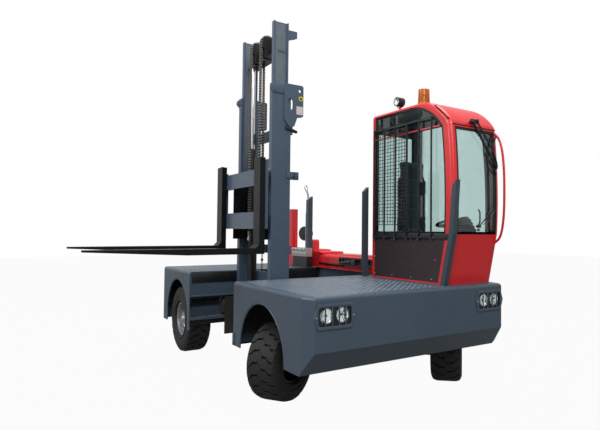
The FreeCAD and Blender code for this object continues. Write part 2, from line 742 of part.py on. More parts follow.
def outer_mast():
    half = MAST_W / 2
    parts = []
    for s in (-1, 1):
        parts.append(channel(half, MAST_NEAR_Y, MAST_FAR_Y, OUTER_FLANGE, OUTER_T,
                             MAST_FOOT_Z, OUTER_TOP_Z, s))
        side = WELL_MID + s * half
        parts.append(ear_plate(side, side + s * EAR_T))
        tie = side - s * TIE_T / 2
        parts.append(box(tie - TIE_T / 2, tie + TIE_T / 2, MAST_FAR_Y, MAST_FAR_Y + TIE_L, *TIE_Z))
        parts.append(rod(TIE_T / 2, (tie, MAST_FAR_Y + TIE_L, TIE_Z[0]),
                         (tie, MAST_FAR_Y + TIE_L, TIE_Z[1])))
        lug_x = WELL_MID + s * TILT_X
        near = lug_x - s * (TILT_ROD_EYE_W / 2 + JOINT_PLAY)
        y, z = TILT_HIGH
        parts.append(box(min(side, near), max(side, near), y - TILT_LUG_R, y + TILT_LUG_R,
                         z - TILT_LUG_R, z + TILT_LUG_R))
        parts.append(rod(TILT_PIN_R, (near - s * JOINT_PLAY, y, z),
                         (lug_x + s * (TILT_ROD_EYE_W / 2 + JOINT_PLAY), y, z)))
    for z0, z1 in OUTER_CROSSES:
        parts.append(box(WELL_MID - half, WELL_MID + half, MAST_FAR_Y, MAST_FAR_Y + CROSS_T,
                         z0, z1))
    seat = LIFT_PITCH / 2 + LIFT_BARREL_R + JOINT_PLAY
    parts.append(box(WELL_MID - seat, WELL_MID + seat, MAST_MID_Y - LIFT_BARREL_R - JOINT_PLAY,
                     MAST_FAR_Y + CROSS_T, MAST_FOOT_Z, MAST_FOOT_Z + MAST_BASE_T))
    mast = fuse(parts)
    for s in (-1, 1):
        x0 = WELL_MID + s * (half - OUTER_T - 1)
        x1 = WELL_MID + s * (half + EAR_T + 1)
        mast = mast.cut(rod(PIN_R + 2 * PIN_PLAY, (x0, MAST_MID_Y, HINGE_Z),
                            (x1, MAST_MID_Y, HINGE_Z)))
    return mast


LIFT_HEAD_Z = 3560.0
HEAD_T = 25.0
HEAD_L = 120.0
INNER_CROSS_T = 20.0
INNER_CROSSES = ((40.0, 160.0), (1400.0, 1500.0), (INNER_L - 330.0, INNER_L - 200.0))
CHEEK_T = 12.0
CHEEK_PLAY = 4.0
CHEEK_R = 45.0


def inner_upright(s):
    """Rolled I section: the carriage runs in its inner groove, the mast in its outer one."""
    rim = WELL_MID + s * INNER_HALF
    web_out = rim - s * INNER_GROOVE
    web_in = web_out - s * INNER_WEB
    edge = rim - s * INNER_FLANGE
    upright = box(min(rim, edge), max(rim, edge), INNER_NEAR_Y, INNER_FAR_Y, INNER_FOOT_Z,
                  INNER_TOP_Z)
    for a, b in ((rim + s, web_out), (web_in, edge - s)):
        upright = upright.cut(box(min(a, b), max(a, b), INNER_NEAR_Y + INNER_T,
                                  INNER_FAR_Y - INNER_T, INNER_FOOT_Z - 1, INNER_TOP_Z + 1))
    return upright


def inner_mast():
    parts = [inner_upright(s) for s in (-1, 1)]
    reach = INNER_HALF - INNER_T
    y1 = INNER_FAR_Y
    for z0, z1 in INNER_CROSSES:
        parts.append(box(WELL_MID - reach, WELL_MID + reach, y1 - INNER_CROSS_T, y1,
                         INNER_FOOT_Z + z0, INNER_FOOT_Z + z1))
    head_z = LIFT_HEAD_Z
    parts.append(box(WELL_MID - reach, WELL_MID + reach, y1 - HEAD_L, y1, head_z,
                     head_z + HEAD_T))
    for s in (-1, 1):
        for k in (-1, 1):
            x = WELL_MID + s * CHAIN_PITCH / 2
            x += k * (PULLEY_W / 2 + CHEEK_PLAY + CHEEK_T / 2)
            parts.append(box(x - CHEEK_T / 2, x + CHEEK_T / 2, PULLEY_Y - CHEEK_R, y1, head_z,
                             PULLEY_Z + CHEEK_R))
    head = fuse(parts)
    reach = PULLEY_R + CHAIN_T + JOINT_PLAY
    half = CHAIN_W / 2 + JOINT_PLAY
    for s in (-1, 1):
        x = WELL_MID + s * CHAIN_PITCH / 2
        head = head.cut(box(x - half, x + half, PULLEY_Y - reach, PULLEY_Y + reach,
                            head_z - 1, head_z + HEAD_T + 1))
    return head




BARREL_END = 45.0


def lift_cylinder_barrels():
    barrels = []
    for s in (-1, 1):
        x = WELL_MID + s * LIFT_PITCH / 2
        z0 = MAST_FOOT_Z + MAST_BASE_T
        barrel = rod(LIFT_BARREL_R, (x, MAST_MID_Y, z0), (x, MAST_MID_Y, LIFT_BARREL_TOP))
        barrel = barrel.cut(rod(LIFT_BORE_R, (x, MAST_MID_Y, z0 + BARREL_END),
                                (x, MAST_MID_Y, LIFT_BARREL_TOP - BARREL_END)))
        barrel = barrel.cut(rod(LIFT_ROD_R + PIN_PLAY, (x, MAST_MID_Y, z0 + BARREL_END),
                                (x, MAST_MID_Y, LIFT_BARREL_TOP + 1)))
        barrels.append(barrel)
    return Part.makeCompound(barrels)


def lift_rods():
    rods = []
    for s in (-1, 1):
        x = WELL_MID + s * LIFT_PITCH / 2
        rods.append(rod(LIFT_ROD_R, (x, MAST_MID_Y, LIFT_HEAD_Z - LIFT_ROD_L),
                        (x, MAST_MID_Y, LIFT_HEAD_Z)))
    return Part.makeCompound(rods)


PULLEY_LIP = 10.0
PULLEY_PIN_R = 18.0


def chain_pulleys():
    pulleys = []
    for s in (-1, 1):
        x = WELL_MID + s * CHAIN_PITCH / 2
        half = PULLEY_W / 2
        pin_half = half + CHEEK_PLAY
        wheel = rod(PULLEY_R + PULLEY_LIP, (x - half, PULLEY_Y, PULLEY_Z),
                    (x + half, PULLEY_Y, PULLEY_Z))
        groove = rod(PULLEY_R + PULLEY_LIP + 1, (x - CHAIN_W / 2 - 1, PULLEY_Y, PULLEY_Z),
                     (x + CHAIN_W / 2 + 1, PULLEY_Y, PULLEY_Z))
        core = rod(PULLEY_R, (x - half, PULLEY_Y, PULLEY_Z), (x + half, PULLEY_Y, PULLEY_Z))
        pin = rod(PULLEY_PIN_R, (x - pin_half, PULLEY_Y, PULLEY_Z),
                  (x + pin_half, PULLEY_Y, PULLEY_Z))
        pulleys.append(fuse([wheel.cut(groove), core, pin]))
    return Part.makeCompound(pulleys)


CHAIN_FRONT_LOW = 1540.0
CHAIN_REAR_LOW = 1300.0


def lift_chains():
    """Each chain runs up to its pulley, over it and down behind it."""
    chains = []
    r0 = PULLEY_R + 0.3
    r1 = r0 + CHAIN_T
    for s in (-1, 1):
        x = WELL_MID + s * CHAIN_PITCH / 2
        a = x - CHAIN_W / 2
        b = x + CHAIN_W / 2
        ring = rod(r1, (a, PULLEY_Y, PULLEY_Z), (b, PULLEY_Y, PULLEY_Z)).cut(
            rod(r0, (a - 1, PULLEY_Y, PULLEY_Z), (b + 1, PULLEY_Y, PULLEY_Z)))
        ring = ring.common(box(a, b, PULLEY_Y - r1, PULLEY_Y + r1, PULLEY_Z, PULLEY_Z + r1))
        front = box(a, b, PULLEY_Y - r1, PULLEY_Y - r0, CHAIN_FRONT_LOW, PULLEY_Z)
        back = box(a, b, PULLEY_Y + r0, PULLEY_Y + r1, CHAIN_REAR_LOW, PULLEY_Z)
        chains.append(fuse([ring, front, back]))
    return Part.makeCompound(chains)


def tilt_direction():
    d = Vector(0, TILT_HIGH[0] - TILT_LOW[0], TILT_HIGH[1] - TILT_LOW[1])
    length = d.Length
    d.normalize()
    return d, length


TILT_BARREL_END = 170.0
TILT_BORE_START = 60.0
TILT_ROD_END = 110.0
ROD_EYE_PLAY = 3.0


def tilt_barrels():
    d, length = tilt_direction()
    out = []
    for s in (-1, 1):
        x = WELL_MID + s * TILT_X
        low = Vector(x, *TILT_LOW)
        eye = rod(TILT_EYE_R, (x - TILT_EYE_W / 2, *TILT_LOW), (x + TILT_EYE_W / 2, *TILT_LOW))
        tube = Part.makeCylinder(TILT_BARREL_R, length - TILT_BARREL_END, low + d * 30, d)
        body = eye.fuse(tube).removeSplitter()
        body = body.cut(rod(TILT_PIN_R + PIN_PLAY, (x - TILT_PIN_HALF, *TILT_LOW),
                            (x + TILT_PIN_HALF, *TILT_LOW)))
        bore = Part.makeCylinder(TILT_ROD_R + PIN_PLAY, length, low + d * TILT_BORE_START, d)
        out.append(body.cut(bore))
    return Part.makeCompound(out)


def tilt_rods():
    d, length = tilt_direction()
    out = []
    for s in (-1, 1):
        x = WELL_MID + s * TILT_X
        high = Vector(x, *TILT_HIGH)
        half = TILT_ROD_EYE_W / 2
        eye = rod(TILT_ROD_EYE_R, (x - half, *TILT_HIGH), (x + half, *TILT_HIGH))
        bar = Part.makeCylinder(TILT_ROD_R, length - TILT_ROD_END - TILT_EYE_R + 14,
                                high - d * (length - TILT_ROD_END), d)
        body = eye.fuse(bar).removeSplitter()
        out.append(body.cut(rod(TILT_PIN_R + ROD_EYE_PLAY, (x - half - 1, *TILT_HIGH),
                                (x + half + 1, *TILT_HIGH))))
    return Part.makeCompound(out)


# ---------------------------------------------------------------------------
# Fork carriage and forks
# ---------------------------------------------------------------------------
BAR_Y0 = FORK_FACE_Y + FORK_T
BAR_Y1 = BAR_Y0 + BAR_T


def fork_carriage():
    half = BAR_L / 2
    x0 = WELL_MID - half
    x1 = WELL_MID + half
    top = UPPER_BAR_Z + UPPER_BAR_H
    parts = [box(x0, x1, BAR_Y0, BAR_Y1, UPPER_BAR_Z, top),
             box(x0, x1, BAR_Y0, BAR_Y1, LOWER_BAR_Z, LOWER_BAR_Z + LOWER_BAR_H)]
    for s in (-1, 1):
        x = WELL_MID + s * (half - 22)
        parts.append(box(x - 22, x + 22, BAR_Y0, BAR_Y1, LOWER_BAR_Z, top + 30))
    return fuse(parts)


SIDE_PLATE_LOW = 120.0
CARRIAGE_ROLLERS = (20.0, 567.0)
CARRIAGE_PIN_R = 24.0


def carriage_side_plates():
    """Black roller plates that run between the inner uprights."""
    plates = []
    for s in (-1, 1):
        outer = WELL_MID + s * (INNER_HALF - INNER_FLANGE - MAST_PLAY)
        inner = outer - s * SIDE_PLATE_T
        x0 = min(outer, inner)
        x1 = max(outer, inner)
        top = UPPER_BAR_Z + UPPER_BAR_H
        plate = box(x0, x1, BAR_Y1, INNER_FAR_Y - 40, LOWER_BAR_Z - SIDE_PLATE_LOW, top)
        for rise in CARRIAGE_ROLLERS:
            z = LOWER_BAR_Z + rise
            face = WELL_MID + s * (INNER_HALF - INNER_GROOVE - INNER_WEB - 4)
            plate = plate.fuse(rod(CARRIAGE_ROLLER_R, (outer + s * 3, MAST_MID_Y, z),
                                   (face, MAST_MID_Y, z)))
            plate = plate.fuse(rod(CARRIAGE_PIN_R, (inner, MAST_MID_Y, z),
                                   (outer + s * 6, MAST_MID_Y, z)))
        plates.append(plate.removeSplitter())
    return Part.makeCompound(plates)


def fork(s):
    x = WELL_MID + s * FORK_PITCH / 2
    y = FORK_FACE_Y
    half = FORK_W / 2
    shank = box(x - half, x + half, y, y + FORK_T, FORK_TOP_Z - FORK_T, FORK_SHANK_TOP)
    blade = prism([(y + FORK_T, FORK_TOP_Z - FORK_T), (y + FORK_T, FORK_TOP_Z),
                   (FORK_TIP_Y, FORK_TOP_Z), (FORK_TIP_Y, FORK_TOP_Z - FORK_TIP_T),
                   (y - FORK_L * 0.45, FORK_TOP_Z - FORK_T)], "x", x - half, x + half)
    taper = 0.3 * FORK_L
    for k in (-1, 1):
        nose = Part.makePolygon([Vector(x + k * half * 0.45, FORK_TIP_Y - 1, 0),
                                 Vector(x + k * (half + 1), FORK_TIP_Y - 1, 0),
                                 Vector(x + k * (half + 1), FORK_TIP_Y + taper, 0),
                                 Vector(x + k * half * 0.45, FORK_TIP_Y - 1, 0)])
        wedge = Part.Face(nose).extrude(Vector(0, 0, FORK_TOP_Z + 10))
        blade = blade.cut(wedge)
    heel = prism([(y - 40, FORK_TOP_Z), (y, FORK_TOP_Z), (y, FORK_TOP_Z + 40)],
                 "x", x - half, x + half)
    return fuse([shank, blade, heel])


def forks():
    return Part.makeCompound([fork(-1), fork(1)])


# ---------------------------------------------------------------------------
# Axles, knuckles and wheels
# ---------------------------------------------------------------------------
YOKE_H = 190.0
YOKE_T = 30.0
SPINDLE_R = 34.0
FRONT_HUB_R = 62.0
REAR_HUB_R = 78.0
REAR_SHAFT_R = 40.0
HUB_PLAY = 1.0
AXLE_TUBE_R = 60.0
DIFFERENTIAL_R = 150.0
REAR_WHEEL_Y = HALF_W - TYRE_INSET - REAR_TYRE_W / 2


AXLE_BEAM = 90.0
KING_BOSS_R = 48.0


def front_axle():
    z = FRONT_TYRE_R
    half = AXLE_BEAM / 2
    parts = [box(KINGPIN_X - 60, KINGPIN_X + 60, -KINGPIN_Y + 70, KINGPIN_Y - 70,
                 z - half, z + half)]
    for s in (-1, 1):
        y = s * KINGPIN_Y
        inner = s * (KINGPIN_Y - 75)
        parts.append(rod(KING_BOSS_R, (KINGPIN_X, y, z - half), (KINGPIN_X, y, z + half)))
        parts.append(rod(KINGPIN_R, (KINGPIN_X, y, z - YOKE_H / 2 - 10),
                         (KINGPIN_X, y, z + YOKE_H / 2 + 10)))
        parts.append(box(KINGPIN_X - 30, KINGPIN_X + 30, min(y, inner), max(y, inner),
                         z - half, z + half))
        y = s * FRONT_RAIL_Y
        parts.append(box(KINGPIN_X - 50, KINGPIN_X + 50, y - TUBE_W / 2, y + TUBE_W / 2,
                         z + half, TUBE_Z))
    return fuse(parts)


def steered(shape, side):
    """Turn a piece of a straight-ahead wheel end to its parked angle."""
    shape = shape.copy()
    angle = LEFT_STEER if side > 0 else RIGHT_STEER
    shape.rotate(Vector(KINGPIN_X, side * KINGPIN_Y, 0), Vector(0, 0, 1), angle)
    return shape


def knuckle(side):
    z = FRONT_TYRE_R
    y0 = side * KINGPIN_Y
    parts = []
    for k in (-1, 1):
        zk = z + k * (YOKE_H / 2 - YOKE_T / 2)
        ring = rod(52, (KINGPIN_X, y0, zk - YOKE_T / 2), (KINGPIN_X, y0, zk + YOKE_T / 2))
        y1 = side * (KINGPIN_Y + 95)
        arm = box(KINGPIN_X - 52, KINGPIN_X + 52, min(y0, y1), max(y0, y1),
                  zk - YOKE_T / 2, zk + YOKE_T / 2)
        parts += [ring, arm]
    ya = side * (KINGPIN_Y + 62)
    yb = side * (KINGPIN_Y + 95)
    parts.append(box(KINGPIN_X - 52, KINGPIN_X + 52, min(ya, yb), max(ya, yb),
                     z - YOKE_H / 2, z + YOKE_H / 2))
    spindle_end = side * (KINGPIN_Y + KINGPIN_OFFSET + HUB_BORE_END - 10)
    parts.append(rod(SPINDLE_R, (KINGPIN_X, yb, z), (KINGPIN_X, spindle_end, z)))
    body = fuse(parts)
    body = body.cut(rod(KINGPIN_R + PIN_PLAY, (KINGPIN_X, y0, z - YOKE_H),
                        (KINGPIN_X, y0, z + YOKE_H)))
    return steered(body, side)


def rim(radius, width, bore, dish):
    """Steel wheel: a barrel with a dished disc and a hub."""
    h = width / 2
    t = RIM_T
    outline = [(-h + 34, radius), (h - 34, radius), (h - 34, radius - t), (dish + t, radius - t),
               (dish + t, bore), (dish, bore), (dish, radius - t), (-h + 34, radius - t)]
    return outline


HUB_X0 = 14.0
HUB_X1 = 95.0
HUB_BORE_END = 70.0
DISC_BORE = 60.0
DISH = 20.0


def wheel(centre, side, radius, width, rim_r, hub_r, bore_r):
    """Tyre and steel wheel with its hub; the hub is bored for the axle end."""
    x, y, z = centre
    axis = (0, side, 0)
    tyre = turned(tyre_outline(radius, width, rim_r), centre, axis)
    steel = turned(rim(rim_r, width, DISC_BORE, DISH), centre, axis)
    hub = rod(hub_r, (x, y + side * HUB_X0, z), (x, y + side * HUB_X1, z))
    bore = rod(bore_r, (x, y, z), (x, y + side * HUB_BORE_END, z))
    return tyre, steel.fuse(hub).cut(bore).removeSplitter()


def front_wheel(side):
    centre = (KINGPIN_X, side * (KINGPIN_Y + KINGPIN_OFFSET), FRONT_TYRE_R)
    pieces = wheel(centre, side, FRONT_TYRE_R, FRONT_TYRE_W, FRONT_RIM_R, FRONT_HUB_R,
                   SPINDLE_R + HUB_PLAY)
    return [steered(piece, side) for piece in pieces]


def rear_wheel(side):
    return wheel((REAR_AXLE_X, side * REAR_WHEEL_Y, REAR_TYRE_R), side, REAR_TYRE_R,
                 REAR_TYRE_W, REAR_RIM_R, REAR_HUB_R, REAR_SHAFT_R + HUB_PLAY)


def rear_axle():
    z = REAR_TYRE_R
    tube = REAR_WHEEL_Y - REAR_TYRE_W / 2 - 35
    tip = REAR_WHEEL_Y + HUB_BORE_END - 4
    parts = [rod(AXLE_TUBE_R, (REAR_AXLE_X, -tube, z), (REAR_AXLE_X, tube, z)),
             rod(REAR_SHAFT_R, (REAR_AXLE_X, -tip, z), (REAR_AXLE_X, tip, z)),
             Part.makeSphere(DIFFERENTIAL_R, Vector(REAR_AXLE_X, 0, z))]
    for s in (-1, 1):
        y = s * REAR_RAIL_Y
        parts.append(box(REAR_AXLE_X - 60, REAR_AXLE_X + 60, y - TUBE_W / 2, y + TUBE_W / 2,
                         z, TUBE_Z))
    return fuse(parts)


# ---------------------------------------------------------------------------
# Cab: one side outline, pushed across the cab's width and rounded.  Every
# panel, pane and opening is cut from that form or from a shifted copy of it.
# ---------------------------------------------------------------------------
def heading(angle):
    a = math.radians(angle)
    return Vector(math.cos(a), 0, math.sin(a))


def turn_left(start, a, b, radius):
    """Arc from start that swings its heading from a to b degrees: edge and end."""
    centre = start + heading(a + 90) * radius
    middle = centre + heading((a + b) / 2 - 90) * radius
    end = centre + heading(b - 90) * radius
    return Part.Arc(start, middle, end).toShape(), end


def cab_front_line(low):
    """Front of the cab from its foot to its roof, one smooth chain of edges."""
    lean = heading(CAB_LEAN)
    start = Vector(CAB_FOOT_X, 0, DECK_H) + lean * ((low - DECK_H) / lean.z)
    belt = start + lean * ((CAB_BELT_Z - low) / lean.z)
    edges = [Part.LineSegment(start, belt).toShape()]
    arc, point = turn_left(belt, CAB_LEAN, SCREEN_LOW, BELT_R)
    edges.append(arc)
    rise = math.cos(math.radians(SCREEN_LOW)) - math.cos(math.radians(SCREEN_HIGH))
    arc, point = turn_left(point, SCREEN_LOW, SCREEN_HIGH, (CAB_SPLIT_Z - point.z) / rise)
    edges.append(arc)
    arc, point = turn_left(point, SCREEN_HIGH, BROW_TURN, BROW_R)
    edges.append(arc)
    radius = (CAB_TOP_Z - point.z) / (1 + math.cos(math.radians(BROW_TURN)))
    arc, point = turn_left(point, BROW_TURN, 180.0, radius)
    edges.append(arc)
    return edges, start, point


FAR_OUT = 4000.0


def cab_outline(setin, dx=0.0, dz=0.0, foot=0.0):
    """Side outline of the cab as a wire in the XZ plane, moved inward by setin."""
    low = DECK_H - foot
    edges, start, roof = cab_front_line(low)
    rear_foot = Vector(CAB_REAR_X, 0, low)
    rear_top = Vector(CAB_REAR_X, 0, CAB_TOP_Z)
    wire = Part.Wire([Part.LineSegment(rear_foot, start).toShape()] + edges + [
        Part.LineSegment(roof, rear_top).toShape(),
        Part.LineSegment(rear_top, rear_foot).toShape()])
    if setin:
        wire = wire.makeOffset2D(-setin, 2)
    wire.translate(Vector(dx, 0, dz))
    return wire


def cab_prism(y0, y1, setin=0.0, dx=0.0, dz=0.0, foot=0.0):
    face = Part.Face(cab_outline(setin, dx, dz, foot))
    solid = face.extrude(Vector(0, y1 - y0, 0))
    solid.translate(Vector(0, y0, 0))
    return solid


def cab_form(setin):
    """Outer form of the cab moved inward by setin; a set-in form reaches below the deck."""
    y0 = CAB_NEAR_Y + setin
    y1 = CAB_FAR_Y - setin
    form = cab_prism(y0, y1, setin, 0, 0, 3 * setin)
    radius = CAB_EDGE_R - setin
    if radius < 2:
        return form
    x0 = CAB_REAR_X + setin
    return rounded(form, radius, lambda e: (
        (mid(e).y < y0 + 0.1 or mid(e).y > y1 - 0.1) and mid(e).z > DECK_H + 1
        and mid(e).x > x0 + 1))


def skin(a, b):
    return cab_form(a).cut(cab_form(b))


SILL_Z = DECK_H + SILL_H
BELT_LOW = CAB_BELT_Z - BELT_H / 2
BELT_HIGH = CAB_BELT_Z + BELT_H / 2
HEAD_Z = CAB_SPLIT_Z - BELT_H
REAR_HEAD_Z = CAB_TOP_Z - REAR_HEADER


def window_form(y0, y1, x0, z0, z1, front, top):
    """Cutter whose front and top edges follow the cab's own outline."""
    form = cab_prism(y0, y1, 0, -front, -top, DECK_H)
    return form.common(box(x0, FAR_OUT, y0, y1, z0, z1))


def near_wall(z0, z1):
    return window_form(CAB_NEAR_Y - 5, CAB_NEAR_Y + CAB_WALL + 5, CAB_REAR_X + PILLAR_REAR,
                       z0, z1, PILLAR_FRONT, ROOF_EDGE)


def rear_wall(edge, z0, z1):
    return box(CAB_REAR_X - 5, CAB_REAR_X + CAB_WALL + 5, CAB_NEAR_Y + CAB_WALL + edge,
               CAB_FAR_Y - CAB_WALL - edge, z0, z1)


def front_wall(z0, z1):
    x0 = CAB_FOOT_X - 2 * CAB_WALL
    return box(x0, FAR_OUT, CAB_NEAR_Y + WINDSCREEN_EDGE, CAB_FAR_Y - WINDSCREEN_EDGE, z0, z1)


def door_form(gap, rim=0.0):
    """Door outline; rim moves it inward for the door's own window."""
    x0 = DOOR_X0 + gap + rim
    z0 = (CAB_BELT_Z if rim else SILL_Z) + gap
    y1 = CAB_FAR_Y + 5
    return window_form(CAB_FAR_Y - CAB_WALL - 5, y1, x0, z0, FAR_OUT,
                       PILLAR_FRONT + gap + rim, DOOR_RIM + gap + rim)


def cab_cuts():
    return {
        "side_window": near_wall(BELT_HIGH, FAR_OUT),
        "cab_side_panel": near_wall(SILL_Z, BELT_LOW),
        "rear_window": rear_wall(REAR_WINDOW_EDGE, BELT_HIGH, REAR_HEAD_Z),
        "cab_rear_panel": rear_wall(PILLAR_REAR, SILL_Z, BELT_LOW),
        "windscreen": front_wall(BELT_HIGH, HEAD_Z),
        "cab_front_panel": front_wall(SILL_Z, BELT_LOW),
    }


HINGE_R = 10.0
HINGE_PIN_R = 6.0
HINGE_L = 60.0
HINGE_X = DOOR_X0 + DOOR_GAP / 2
HINGE_Y = CAB_FAR_Y + HINGE_R
DOOR_HINGES = (SILL_Z + 180, CAB_SPLIT_Z - 250)


def door_hinge(z, on_door):
    """Barrel on the door, or the pin and its two tabs on the frame."""
    low = z - HINGE_L / 2
    high = z + HINGE_L / 2
    if on_door:
        tab = box(HINGE_X, HINGE_X + 40, CAB_FAR_Y - 1, CAB_FAR_Y + 7, low, high)
        barrel = rod(HINGE_R, (HINGE_X, HINGE_Y, low), (HINGE_X, HINGE_Y, high))
        bore = rod(HINGE_PIN_R + PIN_PLAY, (HINGE_X, HINGE_Y, low - 1), (HINGE_X, HINGE_Y, high + 1))
        return barrel.fuse(tab), bore
    parts = [rod(HINGE_PIN_R, (HINGE_X, HINGE_Y, low - 16), (HINGE_X, HINGE_Y, high + 16))]
    for a, b in ((low - 16, low - 1), (high + 1, high + 16)):
        parts.append(rod(HINGE_R, (HINGE_X, HINGE_Y, a), (HINGE_X, HINGE_Y, b)))
        parts.append(box(HINGE_X - 40, HINGE_X, CAB_FAR_Y - 1, CAB_FAR_Y + 7, a, b))
    return fuse(parts), None


def cab_frame():
    frame = skin(0, CAB_WALL)
    frame = frame.common(box(0, FAR_OUT, 0, FAR_OUT, DECK_H, CAB_SPLIT_Z))
    for cutter in cab_cuts().values():
        frame = frame.cut(cutter)
    frame = frame.cut(door_form(0))
    return fuse([frame] + [door_hinge(z, False)[0] for z in DOOR_HINGES])


def cab_roof():
    roof = skin(0, CAB_WALL).common(box(0, FAR_OUT, 0, FAR_OUT, CAB_SPLIT_Z, FAR_OUT))
    roof = roof.cut(near_wall(BELT_HIGH, FAR_OUT)).cut(door_form(0))
    return roof.cut(rear_wall(REAR_WINDOW_EDGE, BELT_HIGH, REAR_HEAD_Z))


def cab_floor():
    return cab_form(CAB_WALL).common(box(0, FAR_OUT, 0, FAR_OUT, DECK_H, DECK_H + FLOOR_T))


def cab_door():
    door = skin(0, DOOR_T).common(door_form(DOOR_GAP)).cut(door_form(DOOR_GAP, DOOR_RIM))
    for z in DOOR_HINGES:
        barrel, bore = door_hinge(z, True)
        door = door.fuse(barrel).cut(bore)
    return door.removeSplitter()


def door_glass():
    return skin(GLASS_SET, GLASS_SET + GLASS_T).common(door_form(DOOR_GAP, DOOR_RIM))


HANDLE_BOW = ((18.0, 0.0), (-79.0, 75.0), (-144.0, 235.0), (-163.0, 573.0), (-158.0, 900.0),
              (-112.0, 1050.0), (18.0, 1146.0))
HANDLE_SET = 34.0


def grab_handle():
    """Bowed tube that stands proud of the windscreen's far edge."""
    y = CAB_FAR_Y - HANDLE_SET
    top = CAB_SPLIT_Z + 2 * HANDLE_R
    points = [Vector(HANDLE_X - HANDLE_REACH - a, y, top - b) for a, b in HANDLE_BOW]
    form = cab_form(0)
    bow = [Part.makeCylinder(HANDLE_R, (b - a).Length, a, b - a)
           for a, b in zip(points, points[1:])]
    bow += [Part.makeSphere(HANDLE_R, p) for p in points[1:-1]]
    return fuse([piece.cut(form) for piece in bow])


GUARD_BARS = 6


def window_guard():
    """Rods in front of the cab's load-side window, hung on two rails."""
    x0 = CAB_REAR_X + PILLAR_REAR
    x1 = CAB_FOOT_X - PILLAR_FRONT - 65
    y1 = CAB_NEAR_Y - GUARD_GAP
    y0 = y1 - GUARD_T
    z0 = CAB_BELT_Z - 30
    z1 = CAB_SPLIT_Z + 98
    parts = [box(x0, x1, y0, y1, z0, z0 + GUARD_T), box(x0, x1, y0, y1, z1 - GUARD_T, z1)]
    for k in range(GUARD_BARS):
        x = x0 + GUARD_T / 2 + (x1 - x0 - GUARD_T) * k / (GUARD_BARS - 1)
        parts.append(box(x - GUARD_T / 2, x + GUARD_T / 2, y0, y1, z0 - 20, z1))
    for x in (x0, x1 - GUARD_T):
        parts.append(box(x, x + GUARD_T, y1, CAB_NEAR_Y, z0, z0 + GUARD_T))
        reach = CAB_NEAR_Y + GLASS_SET
        parts.append(box(x, x + GUARD_T, y1, reach, z1 - GUARD_T, z1))
    return fuse(parts)


SEAT_X = CAB_REAR_X + 445
SEAT_Y = CAB_FAR_Y - 295
SEAT_BASE_Z = DECK_H + 340
CUSHION_T = 100.0


def seat_pedestal():
    return box(SEAT_X - 170, SEAT_X + 170, SEAT_Y - 150, SEAT_Y + 150, DECK_H + FLOOR_T,
               SEAT_BASE_Z)


def seat_cushion():
    top = SEAT_BASE_Z + CUSHION_T
    pad = box(SEAT_X - 220, SEAT_X + 240, SEAT_Y - 225, SEAT_Y + 225, SEAT_BASE_Z, top)
    return rounded(pad, 35, lambda e: mid(e).z > SEAT_BASE_Z + 1)


BACK_H = 870.0


def seat_back():
    low = SEAT_BASE_Z + CUSHION_T + 1
    high = low + BACK_H
    pad = prism([(SEAT_X - 215, low), (SEAT_X - 95, low), (SEAT_X - 150, high),
                 (SEAT_X - 240, high)], "y", SEAT_Y - 210, SEAT_Y + 210)
    return rounded(pad, 25, lambda e: abs(mid(e).y - SEAT_Y) > 100 and mid(e).z > low + 1)


WHEEL_HUB = (CAB_FOOT_X - 245, DECK_H + 590)
COLUMN_FOOT = (CAB_FOOT_X - 115, DECK_H)
STEER_R = 165.0


def steering_column():
    head = Vector(WHEEL_HUB[0], SEAT_Y, WHEEL_HUB[1])
    foot = Vector(COLUMN_FOOT[0], SEAT_Y, COLUMN_FOOT[1])
    d = (head - foot).normalize()
    rim_centre = head + d * 10
    column = rod(32, tuple(foot), tuple(head)).fuse(rod(28, tuple(head), tuple(head + d * 22)))
    column = column.cut(box(foot.x - 200, foot.x + 200, SEAT_Y - 80, SEAT_Y + 80, 0,
                            DECK_H + FLOOR_T))
    parts = [column, Part.makeTorus(STEER_R, 14, rim_centre, d)]
    across = Vector(0, 1, 0)
    for k in range(3):
        a = math.radians(120 * k)
        spoke = across * math.cos(a) + d.cross(across) * math.sin(a)
        parts.append(Part.makeCylinder(9, STEER_R - 5, rim_centre, spoke))
    return fuse(parts)


def control_console():
    y0 = CAB_NEAR_Y + CAB_WALL + 8
    return box(CAB_REAR_X + 155, CAB_REAR_X + 755, y0, y0 + 60, DECK_H + FLOOR_T, DECK_H + 400)


BEACON_X = CAB_REAR_X + 745
BEACON_Y = CAB_NEAR_Y + 115
LAMP_X = CAB_REAR_X + 405
LAMP_Y = CAB_NEAR_Y + 65


def beacon():
    base = Vector(BEACON_X, BEACON_Y, CAB_TOP_Z)
    return fuse([Part.makeCylinder(66, 24, base, Vector(0, 0, 1)),
                 Part.makeCylinder(58, 135, base + Vector(0, 0, 24), Vector(0, 0, 1))])


def work_lamp():
    z = CAB_TOP_Z + 88
    return fuse([rod(9, (LAMP_X, LAMP_Y, CAB_TOP_Z), (LAMP_X, LAMP_Y, z - 20)),
                 rod(50, (LAMP_X, LAMP_Y - 30, z), (LAMP_X, LAMP_Y + 35, z))])


